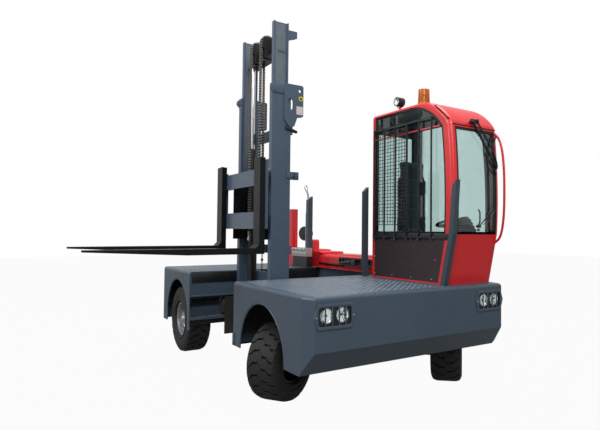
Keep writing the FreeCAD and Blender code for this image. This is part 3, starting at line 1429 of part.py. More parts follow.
# ---------------------------------------------------------------------------
# Build and write every piece
# ---------------------------------------------------------------------------
PIECES = {
    "front_body": front_body(),
    "rear_body": rear_body(),
    "front_platform": platform(WELL_X1, X_FRONT),
    "rear_platform": platform(X_REAR, WELL_X0),
    "headlights": headlights(),
    "chassis_frame": chassis_frame(),
    "traverse_rails": Part.makeCompound([traverse_rail(WELL_X1 + RAIL_DEPTH, WELL_X1),
                                         traverse_rail(WELL_X0 - RAIL_DEPTH, WELL_X0)]),
    "engine_bay_panels": Part.makeCompound([left_side_panel(), engine_bay_wall()]),
    "engine_hood": engine_hood(),
    "hood_grille": hood_grille(),
    "engine": engine(),
    "rear_cowl": rear_cowl(),
    "air_cleaner_housing": air_cleaner_housing(),
    "hydraulic_unit": hydraulic_unit(),
    "valve_block": valve_block(),
    "stanchions": stanchions(),
    "traverse_carriage": traverse_carriage(),
    "traverse_rollers": traverse_rollers(),
    "outer_mast": outer_mast(),
    "inner_mast": inner_mast(),
    "lift_cylinder_barrels": lift_cylinder_barrels(),
    "lift_rods": lift_rods(),
    "chain_pulleys": chain_pulleys(),
    "lift_chains": lift_chains(),
    "tilt_barrels": tilt_barrels(),
    "tilt_rods": tilt_rods(),
    "fork_carriage": fork_carriage(),
    "carriage_side_plates": carriage_side_plates(),
    "forks": forks(),
    "front_axle": front_axle(),
    "rear_axle": rear_axle(),
    "right_knuckle": knuckle(-1),
    "left_knuckle": knuckle(1),
    "cab_frame": cab_frame(),
    "cab_roof": cab_roof(),
    "cab_floor": cab_floor(),
    "cab_door": cab_door(),
    "door_glass": door_glass(),
    "grab_handle": grab_handle(),
    "window_guard": window_guard(),
    "seat_pedestal": seat_pedestal(),
    "seat_cushion": seat_cushion(),
    "seat_back": seat_back(),
    "steering_column": steering_column(),
    "control_console": control_console(),
    "beacon": beacon(),
    "work_lamp": work_lamp(),
}
CUTS = cab_cuts()
PANEL_SKIN = skin(0, PANEL_T)
GLASS_SKIN = skin(GLASS_SET, GLASS_SET + GLASS_T)
PIECES["cab_front_panel"] = PANEL_SKIN.common(CUTS["cab_front_panel"])
PIECES["cab_lower_panels"] = Part.makeCompound(
    [PANEL_SKIN.common(CUTS[k]) for k in ("cab_side_panel", "cab_rear_panel")])
PIECES["cab_windows"] = Part.makeCompound(
    [GLASS_SKIN.common(CUTS[k]) for k in ("side_window", "rear_window", "windscreen")])
for side, word in ((-1, "right"), (1, "left")):
    PIECES["front_" + word + "_tyre"], PIECES["front_" + word + "_rim"] = front_wheel(side)
    PIECES["rear_" + word + "_tyre"], PIECES["rear_" + word + "_rim"] = rear_wheel(side)

for name, shape in PIECES.items():
    save(name, shape)
    solids = shape.Solids
    print(name, len(solids), "solids", round(sum(s.Volume for s in solids) / 1e6, 2), "litres",
          "valid" if shape.isValid() else "NOT VALID")
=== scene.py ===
import bpy
import math
from mathutils import Matrix, Vector
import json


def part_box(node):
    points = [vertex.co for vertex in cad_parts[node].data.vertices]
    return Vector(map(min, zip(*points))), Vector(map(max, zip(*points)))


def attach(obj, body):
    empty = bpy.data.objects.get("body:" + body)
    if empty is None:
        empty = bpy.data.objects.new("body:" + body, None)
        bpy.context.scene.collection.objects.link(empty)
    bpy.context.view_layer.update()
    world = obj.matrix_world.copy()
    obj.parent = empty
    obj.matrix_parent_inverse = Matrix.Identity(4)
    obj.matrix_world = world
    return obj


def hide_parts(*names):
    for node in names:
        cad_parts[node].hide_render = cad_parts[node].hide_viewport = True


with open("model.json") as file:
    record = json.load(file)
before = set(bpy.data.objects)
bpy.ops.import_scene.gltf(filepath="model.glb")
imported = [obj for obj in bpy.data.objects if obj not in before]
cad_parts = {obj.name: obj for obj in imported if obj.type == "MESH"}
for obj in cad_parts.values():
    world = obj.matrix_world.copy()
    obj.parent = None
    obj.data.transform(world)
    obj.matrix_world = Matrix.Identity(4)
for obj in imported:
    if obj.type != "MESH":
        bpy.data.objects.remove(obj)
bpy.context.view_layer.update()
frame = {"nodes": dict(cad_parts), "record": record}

# ---------------------------------------------------------------------------
# Studio.  The truck stands on a plain pale floor under soft, even light.
# Floor and sky look white to the eye of the lens, and the floor keeps a
# faint shadow.
# ---------------------------------------------------------------------------


def tone(code):
    """Linear colour of an sRGB hex code such as 46525E."""
    parts = [int(code[k:k + 2], 16) / 255 for k in (0, 2, 4)]
    linear = [p / 12.92 if p <= 0.04045 else ((p + 0.055) / 1.055) ** 2.4 for p in parts]
    return (*linear, 1.0)


def add(tree, kind, inputs=None, **settings):
    """Add a shader node, set its options, and set or link its inputs."""
    node = tree.nodes.new("ShaderNode" + kind)
    for key, value in settings.items():
        setattr(node, key, value)
    for key, value in (inputs or {}).items():
        if isinstance(key, int):
            socket = node.inputs[key]
        else:
            socket = next(s for s in node.inputs if s.name == key and s.enabled)
        if isinstance(value, bpy.types.NodeSocket):
            tree.links.new(value, socket)
        else:
            socket.default_value = value
    return node


def result(node):
    """The output in use on a node that holds one for each kind of value."""
    return next(s for s in node.outputs if s.enabled)


def material(name):
    """A new material with its tree and its Principled shader."""
    finish = bpy.data.materials.new(name)
    finish.use_nodes = True
    return finish, finish.node_tree, finish.node_tree.nodes["Principled BSDF"]


def two_tone(name, kind, inputs, colours, rough, span=(0.0, 1.0), metallic=0.0,
             output="Fac", **settings):
    """A finish whose colour and polish drift between two values with one pattern."""
    finish, tree, shader = material(name)
    coords = add(tree, "TexCoord").outputs["Object"]
    drift = add(tree, kind, {"Vector": coords, **inputs}, **settings).outputs[output]
    hue = add(tree, "Mix", {"Factor": drift, "A": tone(colours[0]), "B": tone(colours[1])},
              data_type="RGBA")
    tree.links.new(result(hue), shader.inputs["Base Color"])
    polish = add(tree, "MapRange", {"Value": drift, "From Min": span[0], "From Max": span[1],
                                    "To Min": rough[0], "To Max": rough[1]})
    tree.links.new(result(polish), shader.inputs["Roughness"])
    shader.inputs["Metallic"].default_value = metallic
    return finish


def leave_edit():
    bpy.ops.object.mode_set(mode="OBJECT")


def deselect():
    if bpy.context.object and bpy.context.object.mode == "EDIT":
        leave_edit()
    bpy.ops.object.select_all(action="DESELECT")


def white_rays(tree, direct, mirrored):
    """How white a ray sees the studio: straight or through glass, or mirrored."""
    ray = add(tree, "LightPath").outputs
    seen = add(tree, "Math", {0: ray["Is Camera Ray"], 1: ray["Is Transmission Ray"]},
               operation="MAXIMUM")
    seen = add(tree, "Math", {0: seen.outputs[0], 1: direct}, operation="MULTIPLY")
    shine = add(tree, "Math", {0: ray["Is Glossy Ray"], 1: mirrored}, operation="MULTIPLY")
    return add(tree, "Math", {0: seen.outputs[0], 1: shine.outputs[0]},
               operation="MAXIMUM").outputs[0]


FLOOR_SIZE = 60.0
FLOOR_WHITE = 0.96
FLOOR_MIRROR = 0.16

deselect()
bpy.ops.mesh.primitive_plane_add(size=FLOOR_SIZE, location=(0, 0, 0))
floor = bpy.context.object
floor.name = "studio_floor"
pale_floor = two_tone("pale_studio_floor", "TexNoise", {"Scale": 0.6, "Detail": 2.0},
                      ("5C5C5C", "646464"), (0.9, 0.9))
tree = pale_floor.node_tree
white = add(tree, "Emission", {"Color": tone("FFFFFF"), "Strength": 1.0})
both = add(tree, "MixShader", {0: white_rays(tree, FLOOR_WHITE, FLOOR_MIRROR),
                               1: tree.nodes["Principled BSDF"].outputs[0],
                               2: white.outputs[0]})
tree.links.new(both.outputs[0], tree.nodes["Material Output"].inputs["Surface"])
floor.data.materials.append(pale_floor)

SKY_LIGHT = 0.36
MIRROR_LIGHT = 0.42
sky = bpy.data.worlds.new("studio_sky")
sky.use_nodes = True
tree = sky.node_tree
level = add(tree, "MapRange", {"Value": white_rays(tree, 1.0, MIRROR_LIGHT),
                               "To Min": SKY_LIGHT, "To Max": 1.0})
tree.links.new(result(level), tree.nodes["Background"].inputs["Strength"])
tree.nodes["Background"].inputs["Color"].default_value = tone("FFFFFF")
bpy.context.scene.world = sky

# Each lamp: name, place, the point it faces, its size across and its power.
SOFT_BOXES = [("key_soft_box", (7.0, -3.0, 7.0), (0.6, 0.3, 1.0), 4.0, 470),
              ("side_soft_box", (-3.0, -8.0, 6.0), (0.0, 0.2, 1.0), 4.5, 300),
              ("top_soft_box", (0.5, 1.5, 9.0), (0.3, 0.3, 0.0), 5.0, 340)]
for name, place_at, face, size, power in SOFT_BOXES:
    lamp = bpy.data.lights.new(name, "AREA")
    lamp.shape = "DISK"
    lamp.size = size
    lamp.energy = power
    stand = bpy.data.objects.new(name, lamp)
    stand.location = place_at
    stand.rotation_euler = (Vector(face) - Vector(place_at)).to_track_quat("-Z", "Y").to_euler()
    bpy.context.collection.objects.link(stand)

# The camera stands ahead of the truck's near front corner, at a person's eye.
CAMERA_AT = (5.6030, -2.4365, 1.561)
YAW, PITCH, ROLL = 2.509, 0.030, 0.007
sight = Vector((math.cos(PITCH) * math.cos(YAW), math.cos(PITCH) * math.sin(YAW),
                math.sin(PITCH)))
right = Vector((math.sin(YAW), -math.cos(YAW), 0))
up = right.cross(sight)
right, up = (right * math.cos(ROLL) + up * math.sin(ROLL),
             up * math.cos(ROLL) - right * math.sin(ROLL))
lens = bpy.data.cameras.new("studio_camera")
lens.sensor_width = 36.0
lens.lens = 31.64
lens.shift_x = -0.1341
lens.shift_y = 0.0018
lens.clip_start = 0.05
camera = bpy.data.objects.new("studio_camera", lens)
camera.matrix_world = Matrix.Translation(CAMERA_AT) @ Matrix(
    (right, up, -sight)).transposed().to_4x4()
bpy.context.collection.objects.link(camera)
bpy.context.scene.camera = camera
bpy.context.scene.view_settings.view_transform = "Standard"

# ---------------------------------------------------------------------------
# Decks.  The front and the rear body are folded and welded sheet steel in
# slate-grey enamel, and the stanchions have a darker coat.  The loading plates
# are let into the top as anti-slip plate.
# ---------------------------------------------------------------------------
front_low, front_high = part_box("front_body")
rear_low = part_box("rear_body")[0]
MID_X = (rear_low.x + front_high.x) / 2
MID_Y = (front_low.y + front_high.y) / 2


def on_truck(x, y, z):
    """A point given from the truck's mid-length, its mid-width and the floor."""
    return Vector((MID_X + x, MID_Y + y, z))


def grained(finish, kind, inputs, strength, distance, output="Fac", **settings):
    """Raise the surface of a finish by a fine pattern."""
    tree = finish.node_tree
    coords = add(tree, "TexCoord").outputs["Object"]
    grain = add(tree, kind, {"Vector": coords, **inputs}, **settings)
    bump = add(tree, "Bump", {"Height": grain.outputs[output], "Strength": strength,
                              "Distance": distance})
    tree.links.new(bump.outputs["Normal"], tree.nodes["Principled BSDF"].inputs["Normal"])


def sprayed_paint(name, colour, gloss=0.36, drift=0.05, dust=0.0):
    """Stove enamel: slight drift of tone, orange peel, and dust low down."""
    finish, tree, shader = material(name)
    coords = add(tree, "TexCoord").outputs["Object"]
    cloud = add(tree, "TexNoise", {"Vector": coords, "Scale": 2.2, "Detail": 5.0,
                                   "Roughness": 0.6})
    lift = add(tree, "MapRange", {"Value": cloud.outputs["Fac"], "From Min": 0.3,
                                  "From Max": 0.7, "To Min": 1 - drift, "To Max": 1 + drift})
    tint = add(tree, "HueSaturation", {"Color": tone(colour), "Value": result(lift)})
    skin = tint.outputs["Color"]
    if dust:
        height = add(tree, "SeparateXYZ", {"Vector": coords}).outputs["Z"]
        low = add(tree, "MapRange", {"Value": height, "From Min": 0.0, "From Max": 1.1,
                                     "To Min": dust, "To Max": 0.0})
        blot = add(tree, "TexNoise", {"Vector": coords, "Scale": 9.0, "Detail": 6.0})
        amount = add(tree, "Math", {0: result(low), 1: blot.outputs["Fac"]},
                     operation="MULTIPLY")
        dusty = add(tree, "Mix", {"Factor": amount.outputs[0], "A": skin,
                                  "B": tone("8B8578")}, data_type="RGBA")
        skin = result(dusty)
    tree.links.new(skin, shader.inputs["Base Color"])
    smear = add(tree, "TexNoise", {"Vector": coords, "Scale": 14.0, "Detail": 3.0})
    sheen = add(tree, "MapRange", {"Value": smear.outputs["Fac"], "From Min": 0.3,
                                   "From Max": 0.7, "To Min": gloss - 0.05,
                                   "To Max": gloss + 0.07})
    tree.links.new(result(sheen), shader.inputs["Roughness"])
    grained(finish, "TexNoise", {"Scale": 420.0, "Detail": 1.0}, 0.02, 0.0003)
    return finish


def paint_nodes(finish, *names):
    """Give CAD nodes this finish in place of their plain one."""
    for name in names:
        slots = frame["nodes"][name].data.materials
        slots.clear()
        slots.append(finish)


slate_enamel = sprayed_paint("slate_enamel", "425261", gloss=0.34, dust=0.05)
paint_nodes(slate_enamel, "front_body", "rear_body")
post_enamel = sprayed_paint("dark_slate_enamel", "37454F", gloss=0.34)
paint_nodes(post_enamel, "stanchions")

deck_plate = sprayed_paint("anti_slip_deck_enamel", "485663", gloss=0.40, drift=0.08)
paint_nodes(deck_plate, "front_platform", "rear_platform")

# ---------------------------------------------------------------------------
# Deck trim.  Folded lips stiffen the four wheel arches, a clamp plate is
# bolted low on the near side, cap screws hold the loading plates down, and
# raised treads cover them.
# ---------------------------------------------------------------------------
def edit(select="SELECT"):
    """Go into edit mode with all of the mesh selected, or with none of it."""
    bpy.ops.object.mode_set(mode="EDIT")
    bpy.ops.mesh.select_all(action=select)


def only(piece):
    """Select one piece alone and make it the active one."""
    deselect()
    piece.select_set(True)
    bpy.context.view_layer.objects.active = piece


def settle():
    """Work the selected piece's place, turn and scale into its mesh."""
    bpy.ops.object.transform_apply(location=True, rotation=True, scale=True)


def shape_up(piece, name, finish, body, smooth=True):
    """Name a new piece, settle its place in its mesh, and give it finish and body."""
    only(piece)
    settle()
    if smooth:
        bpy.ops.object.shade_smooth_by_angle(angle=math.radians(32))
    piece.name = name
    piece.data.name = name
    piece.data.materials.clear()
    piece.data.materials.append(finish)
    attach(piece, body)
    return piece


def block(low, high, edge=0.002, segments=2):
    """A plate or bar between two corners, with its edges broken."""
    low, high = Vector(low), Vector(high)
    deselect()
    bpy.ops.mesh.primitive_cube_add(size=1, location=(low + high) / 2)
    piece = bpy.context.object
    piece.scale = high - low
    settle()
    if edge:
        edit()
        bpy.ops.mesh.bevel(offset=edge, segments=segments, affect="EDGES")
        leave_edit()
    return piece


def slab(low, high, edge=0.002, segments=2):
    """A block whose corners are given from the truck's middle and the floor."""
    return block(on_truck(*low), on_truck(*high), edge, segments)


def bevelled(piece, chosen, width, segments):
    """Bevel those edges that `chosen` picks by the places of their two ends."""
    edit("DESELECT")
    leave_edit()
    for e in piece.data.edges:
        e.select = chosen(*(piece.data.vertices[v].co for v in e.vertices))
    bpy.ops.object.mode_set(mode="EDIT")
    bpy.ops.mesh.bevel(offset=width, segments=segments, affect="EDGES")
    leave_edit()


def facing(direction, spot):
    """Matrix that turns +Z to a direction and moves to a place."""
    turn = Vector(direction).to_track_quat("Z", "Y").to_matrix().to_4x4()
    return Matrix.Translation(spot) @ turn


SAME = 1e-6


def bar(start, end, radius, sides=16, edge=0.0):
    """A round bar or disc from one point to another, its rims broken."""
    start, end = Vector(start), Vector(end)
    deselect()
    bpy.ops.mesh.primitive_cylinder_add(vertices=sides, radius=radius,
                                        depth=(end - start).length)
    piece = bpy.context.object
    if edge:
        bevelled(piece, lambda a, b: abs(a.z - b.z) < SAME, edge, 2)
    piece.matrix_world = facing(end - start, (start + end) / 2)
    settle()
    return piece


def rod(start, end, radius, sides=16, edge=0.0):
    """A bar whose ends are given from the truck's middle and the floor."""
    return bar(on_truck(*start), on_truck(*end), radius, sides, edge)


def from_data(name, data):
    """A new object round a mesh or curve, selected alone."""
    piece = bpy.data.objects.new(name, data)
    bpy.context.collection.objects.link(piece)
    only(piece)
    return piece


def pipe(points, radius, sides=8):
    """A bent tube or rod that rounds the corners of a line of points."""
    line = bpy.data.curves.new("bent_tube", "CURVE")
    line.dimensions = "3D"
    run = line.splines.new("NURBS")
    run.points.add(len(points) - 1)
    for knot, point in zip(run.points, points):
        knot.co = (*point, 1.0)
    run.order_u = 3
    run.use_endpoint_u = True
    line.resolution_u = 6
    line.bevel_depth = radius
    line.bevel_resolution = max(1, sides // 4 - 1)
    line.use_fill_caps = True
    from_data("bent_tube", line)
    bpy.ops.object.convert(target="MESH")
    edit()
    bpy.ops.mesh.remove_doubles(threshold=0.00002)
    bpy.ops.mesh.normals_make_consistent(inside=False)
    leave_edit()
    return bpy.context.object


def tube(points, radius, sides=8):
    """A pipe whose points are given from the truck's middle and the floor."""
    return pipe([on_truck(*point) for point in points], radius, sides)


def joined(pieces):
    """Weld several meshes into one piece."""
    deselect()
    for piece in pieces:
        piece.select_set(True)
    bpy.context.view_layer.objects.active = pieces[0]
    if len(pieces) > 1:
        bpy.ops.object.join()
    return bpy.context.object


def copied(piece, moves):
    """Copies of a piece, each with its own mesh, moved or turned; joined to one."""
    family = []
    for move in moves:
        twin = piece.copy()
        twin.data = piece.data.copy()
        bpy.context.collection.objects.link(twin)
        matrix = move if isinstance(move, Matrix) else Matrix.Translation(move)
        twin.data.transform(matrix)
        family.append(twin)
    bpy.data.objects.remove(piece)
    return joined(family)


black_satin = sprayed_paint("black_satin_paint", "1B1C1F", gloss=0.34, drift=0.12)

# Arch centre (x, z), radius and skirt foot of the front and the rear wheels.
FRONT_WHEEL_X, REAR_WHEEL_X = 1.200, -1.440
ARCHES = ((FRONT_WHEEL_X, 0.437, 0.483, 0.437, "front"),
          (REAR_WHEEL_X, 0.478, 0.465, 0.350, "rear"))
SKIRT_Y = 1.0895
LIP_R = 0.006
LIP_LIFT = 0.004
LIP_STEPS = 18
for x, z, radius, foot, word in ARCHES:
    lips = []
    for side in (-1, 1):
        y = side * SKIRT_Y
        # Where the arch springs above the skirt's foot, the lip runs down to it.
        stands = z > foot + 0.01
        route = [(x + radius - LIP_R, y, foot + LIP_LIFT)] * stands
        for k in range(LIP_STEPS + 1):
            a = math.pi * k / LIP_STEPS
            reach = radius - LIP_R
            route.append((x + reach * math.cos(a), y, z + reach * math.sin(a)))
        route += [(x - radius + LIP_R, y, foot + LIP_LIFT)] * stands
        lips.append(tube(route, LIP_R))
    shape_up(joined(lips), word + "_arch_lips", slate_enamel, "chassis")

# Galvanised cap screws, modelled once and set where plates are held down.
bright_zinc = two_tone("bright_zinc_screws", "TexNoise", {"Scale": 60.0, "Detail": 3.0},
                       ("A9ABA9", "C9C8BF"), (0.28, 0.5), metallic=1.0)
SCREW_R = 0.009


def screw(radius=SCREW_R, height=0.006):
    """Round-headed screw with a hexagon socket; its head points up."""
    piece = bar((0, 0, -0.001), (0, 0, height), radius, sides=14)
    for face in piece.data.polygons:
        face.select = face.normal.z > 0.9
    bpy.ops.object.mode_set(mode="EDIT")
    bpy.ops.mesh.select_mode(type="FACE")
    bpy.ops.mesh.inset(thickness=radius * 0.3)
    bpy.ops.mesh.inset(thickness=radius * 0.12)
    bpy.ops.transform.translate(value=(0, 0, -height * 0.6))
    bpy.ops.object.mode_set(mode="OBJECT")
    return piece


DECK_SCREWS = ((0.628, 2.026), (-2.026, -0.990))
DECK_SCREWS_Y = (-1.016, 0.340)
PLATE_TOP = 1.0585
spots = []
for low_x, high_x in DECK_SCREWS:
    for k in range(5):
        x = low_x + (high_x - low_x) * k / 4
        spots += [facing((0, 0, 1), on_truck(x, y, PLATE_TOP)) for y in DECK_SCREWS_Y]
shape_up(copied(screw(), spots), "deck_plate_screws", bright_zinc, "chassis")

# Raised lozenges of the anti-slip plates, turned crosswise from one to the next,
# in a paler enamel: partly wear on top, partly painted highlight for their glints.
TREAD_PITCH = 0.034
TREAD_HALF = (0.0125, 0.0042, 0.0016)
TREAD_CLEAR = 0.016
tread_wear_highlight_enamel = sprayed_paint("tread_enamel_wear_and_painted_highlight", "7A8794", gloss=0.30, drift=0.15)
for word in ("front", "rear"):
    plate = frame["nodes"][word + "_platform"]
    low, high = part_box(word + "_platform")
    inward = plate.matrix_world.inverted()
    down = inward.to_3x3() @ Vector((0, 0, -1))
    spots = []
    for i in range(int((high.x - low.x) / TREAD_PITCH)):
        for k in range(int((high.y - low.y) / TREAD_PITCH)):
            spot = Vector((low.x + TREAD_PITCH * (i + 0.5), low.y + TREAD_PITCH * (k + 0.5),
                           high.z))
            rim = [spot + Vector((a, b, 0.01)) for a in (-TREAD_CLEAR, TREAD_CLEAR)
                   for b in (-TREAD_CLEAR, TREAD_CLEAR)]
            if all(plate.ray_cast(inward @ r, down, distance=0.015)[0] for r in rim):
                turn = Matrix.Rotation(math.radians(45 + 90 * ((i + k) % 2)), 4, "Z")
                spots.append(Matrix.Translation(spot) @ turn)
    deselect()
    bpy.ops.mesh.primitive_cone_add(vertices=8, radius1=1, radius2=0.55, depth=1)
    stud = bpy.context.object
    stud.scale = TREAD_HALF
    stud.location.z = TREAD_HALF[2] / 2 - 0.0002
    settle()
    shape_up(copied(stud, spots), word + "_deck_treads", tread_wear_highlight_enamel, "chassis",
             smooth=False)

clamp = slab((0.552, -1.106, 0.440), (0.585, -1.094, 0.560), 0.004)
foot_lug = slab((0.545, -1.104, 0.468), (0.590, -1.090, 0.500), 0.006)
shape_up(joined([clamp, foot_lug]), "skirt_clamp_plate", slate_enamel, "chassis")

# ---------------------------------------------------------------------------
# Headlights.  Each unit sits in a pressed recess: black plate, bright
# reflector bowls, ribbed glass lenses, and a slate guard plate with bars screwed on
# at both ends.
# ---------------------------------------------------------------------------
LAMP_X = 2.101
LAMP_Z = 0.911
LAMP_PITCH = 0.142
UNIT_Y = 0.874
BOWL_DEEP = 0.026

FACETS = {"Scale": 70.0}
bright_reflector = two_tone("bright_reflector", "TexVoronoi", FACETS, ("F4F6F8", "C9CED3"),
                            (0.12, 0.24), metallic=1.0, output="Distance")
grained(bright_reflector, "TexVoronoi", FACETS, 0.5, 0.004, output="Distance")


def clear_pane(name, tint, rough=0.02):
    """Glass that bends the view but lets the lamps' light straight through."""
    finish, tree, shader = material(name)
    coords = add(tree, "TexCoord").outputs["Object"]
    film = add(tree, "TexNoise", {"Vector": coords, "Scale": 3.0, "Detail": 4.0})
    hue = add(tree, "HueSaturation", {"Color": tone(tint)})
    wash = add(tree, "MapRange", {"Value": film.outputs["Fac"], "To Min": 0.97,
                                  "To Max": 1.03})
    tree.links.new(result(wash), hue.inputs["Value"])
    tree.links.new(hue.outputs["Color"], shader.inputs["Base Color"])
    shader.inputs["Transmission Weight"].default_value = 1.0
    shader.inputs["Roughness"].default_value = rough
    open_way = add(tree, "BsdfTransparent", {"Color": tone(tint)})
    ray = add(tree, "LightPath")
    lit = add(tree, "Math", {0: ray.outputs["Is Shadow Ray"], 1: ray.outputs["Is Diffuse Ray"]},
              operation="MAXIMUM")
    both = add(tree, "MixShader", {0: lit.outputs[0], 1: shader.outputs[0],
                                   2: open_way.outputs[0]})
    tree.links.new(both.outputs[0], tree.nodes["Material Output"].inputs["Surface"])
    return finish


def spun(outline, centre, axis, steps=40):
    """Turn an outline of (along, radius) points into a closed ring or bowl."""
    mesh = bpy.data.meshes.new("outline")
    mesh.from_pydata([(r, 0, a) for a, r in outline],
                     [(k, k + 1) for k in range(len(outline) - 1)], [])
    piece = from_data("outline", mesh)
    edit()
    bpy.ops.mesh.spin(steps=steps, angle=2 * math.pi, center=(0, 0, 0), axis=(0, 0, 1))
    bpy.ops.mesh.select_all(action="SELECT")
    bpy.ops.mesh.remove_doubles(threshold=0.00005)
    bpy.ops.mesh.normals_make_consistent(inside=False)
    leave_edit()
    piece.data.transform(facing(axis, centre))
    return piece


def ring_of(outline, centre, axis, steps=40):
    """Spin a closed outline, given without its first point again."""
    return spun(outline + outline[:1], centre, axis, steps)


def modified(piece, name, kind, **settings):
    """Put a modifier on the active piece and apply it."""
    change = piece.modifiers.new(name, kind)
    for key, value in settings.items():
        setattr(change, key, value)
    bpy.ops.object.modifier_apply(modifier=name)


paint_nodes(black_satin, "headlights")
lens_glass = clear_pane("ribbed_lens_glass", "F1F5F2", rough=0.05)
bowls = []
lenses = []
rings = []
for side in (-1, 1):
    for k in (-0.5, 0.5):
        centre = on_truck(LAMP_X - BOWL_DEEP, side * UNIT_Y + k * LAMP_PITCH, LAMP_Z)
        bowl = [(0.010, 0.0), (0.0102, 0.008), (0.012, 0.016), (0.016, 0.034),
                (0.023, 0.053), (0.025, 0.0605), (0.023, 0.0612), (0.0095, 0.026),
                (0.0085, 0.0)]
        bowls.append(spun(bowl, centre + Vector((-0.0004, 0, 0)), (1, 0, 0), 32))
        dome = [(0.0262, 0.0), (0.0258, 0.016), (0.0268, 0.024), (0.0248, 0.034),
                (0.0256, 0.042), (0.0228, 0.053), (0.0205, 0.0590), (0.0190, 0.0590),
                (0.0215, 0.050), (0.0238, 0.029), (0.0245, 0.0)]
        lenses.append(spun(dome, centre + Vector((0.001, 0, 0)), (1, 0, 0), 32))
        ring = [(0.0235, 0.0595), (0.0275, 0.0600), (0.0280, 0.0640), (0.0250, 0.0660),
                (0.0235, 0.0595)]
        rings.append(spun(ring, centre, (1, 0, 0), 32))
shape_up(joined(bowls), "headlight_reflectors", bright_reflector, "chassis")
shape_up(joined(lenses), "headlight_lenses", lens_glass, "chassis")
shape_up(joined(rings), "headlight_bezels", black_satin, "chassis")

# Guard plate: a six-sided plate with a round-cornered window and four bars.
GUARD_HALF = (0.190, 0.100)
GUARD_POINT = 0.034
WINDOW_HALF = (0.150, 0.073)
WINDOW_R = 0.024
GUARD_DROP = 0.007


def on_hexagon(angle):
    """Where a ray from the middle leaves the guard plate's outline."""
    y, z = math.cos(angle), math.sin(angle)
    half, tall = GUARD_HALF
    flat = tall / max(abs(z), 1e-6)
    slope = GUARD_POINT / tall
    end = half / (abs(y) + slope * abs(z))
    reach = min(flat, end)
    return (y * reach, z * reach)


def on_window(angle):
    """Where a ray from the middle leaves the window with its round corners."""
    y, z = math.cos(angle), math.sin(angle)
    half, tall = WINDOW_HALF
    reach = min(half / max(abs(y), 1e-6), tall / max(abs(z), 1e-6))
    a, b = abs(y * reach), abs(z * reach)
    mid_a, mid_b = half - WINDOW_R, tall - WINDOW_R
    if a > mid_a and b > mid_b:
        along = mid_a * abs(y) + mid_b * abs(z)
        off = mid_a ** 2 + mid_b ** 2 - WINDOW_R ** 2
        reach = along + math.sqrt(along ** 2 - off)
    return (y * reach, z * reach)


guard = []
corner = math.atan2(GUARD_HALF[1], GUARD_HALF[0] - GUARD_POINT)
angles = [2 * math.pi * k / 72 for k in range(72)]
angles = sorted(angles + [corner, math.pi - corner, math.pi + corner, 2 * math.pi - corner])
for side in (-1, 1):
    centre = on_truck(LAMP_X + 0.0040, side * UNIT_Y, LAMP_Z - GUARD_DROP)
    verts = [centre + Vector((0, *on_hexagon(a))) for a in angles]
    verts += [centre + Vector((0, *on_window(a))) for a in angles]
    n = len(angles)
    faces = [(k, (k + 1) % n, n + (k + 1) % n, n + k) for k in range(n)]
    mesh = bpy.data.meshes.new("guard_plate")
    mesh.from_pydata(verts, [], faces)
    plate = from_data("guard_plate", mesh)
    modified(plate, "wall", "SOLIDIFY", thickness=0.009, offset=1.0)
    modified(plate, "edge", "BEVEL", width=0.002, segments=2)
    guard.append(plate)
    for share in (-0.58, -0.17, 0.25, 0.66):
        y = WINDOW_HALF[0] * share
        guard.append(block(centre + Vector((0.001, y - 0.006, -0.077)),
                           centre + Vector((0.008, y + 0.006, 0.077)), 0.002, 2))
shape_up(joined(guard), "headlight_guards", slate_enamel, "chassis")
GUARD_SCREW_Y = 0.168
spots = [facing((1, 0, 0), on_truck(LAMP_X + 0.0125, side * UNIT_Y + k * GUARD_SCREW_Y,
                                    LAMP_Z - GUARD_DROP))
         for side in (-1, 1) for k in (-1, 1)]
shape_up(copied(screw(0.008, 0.005), spots), "headlight_screws", bright_zinc, "chassis")

# ---------------------------------------------------------------------------
# Underframe, axles and knuckles.  Welded tube and forged beam, dipped in
# chassis black that has dulled and picked up road dust.
# ---------------------------------------------------------------------------
chassis_black = sprayed_paint("chassis_black", "17181A", gloss=0.5, drift=0.15, dust=0.35)
paint_nodes(chassis_black, "chassis_frame", "front_axle", "rear_axle", "right_knuckle",
            "left_knuckle")
steer_low, steer_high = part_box("front_axle")
king_x = (steer_low.x + steer_high.x) / 2
RAM_BACK, RAM_HALF, RAM_Z = 0.16, 0.30, 0.36
ram = [pipe([Vector((king_x - RAM_BACK, MID_Y + y, RAM_Z))
             for y in (-RAM_HALF, -0.1, 0.1, RAM_HALF)], 0.035, 16)]
for side in (-1, 1):
    root = Vector((king_x - RAM_BACK, MID_Y + side * RAM_HALF, RAM_Z))
    ram.append(bar(root - Vector((0, side * 0.002, 0)), root + Vector((0, side * 0.22, 0)),
                   0.018, 14, 0.002))
    ram.append(block(root + Vector((-0.03, -0.02, -0.06)), root + Vector((0.12, 0.02, 0.06)),
                     0.006))
shape_up(joined(ram), "steering_ram", chassis_black, "chassis")
REAR_HUB_Z = 0.420
cover = spun([(-0.005, 0.0), (-0.004, 0.10), (0.030, 0.125), (0.050, 0.10), (0.075, 0.05),
              (0.078, 0.0)], on_truck(REAR_WHEEL_X + 0.115, 0, REAR_HUB_Z), (1, 0, 0), 24)
rib = rod((REAR_WHEEL_X + 0.14, 0, REAR_HUB_Z), (REAR_WHEEL_X + 0.32, 0, REAR_HUB_Z), 0.045, 18,
          0.006)
shape_up(joined([cover, rib]), "axle_drive_housing", chassis_black, "chassis")

# ---------------------------------------------------------------------------
# Well.  The C-rails are rolled steel in slate enamel, with painted shade darkening their
# upper halves, and their wear strips are bright.  The engine bay wall has the body's slate enamel.
# ---------------------------------------------------------------------------
flat_black = sprayed_paint("flat_black_paint", "121518", gloss=0.3, drift=0.25)


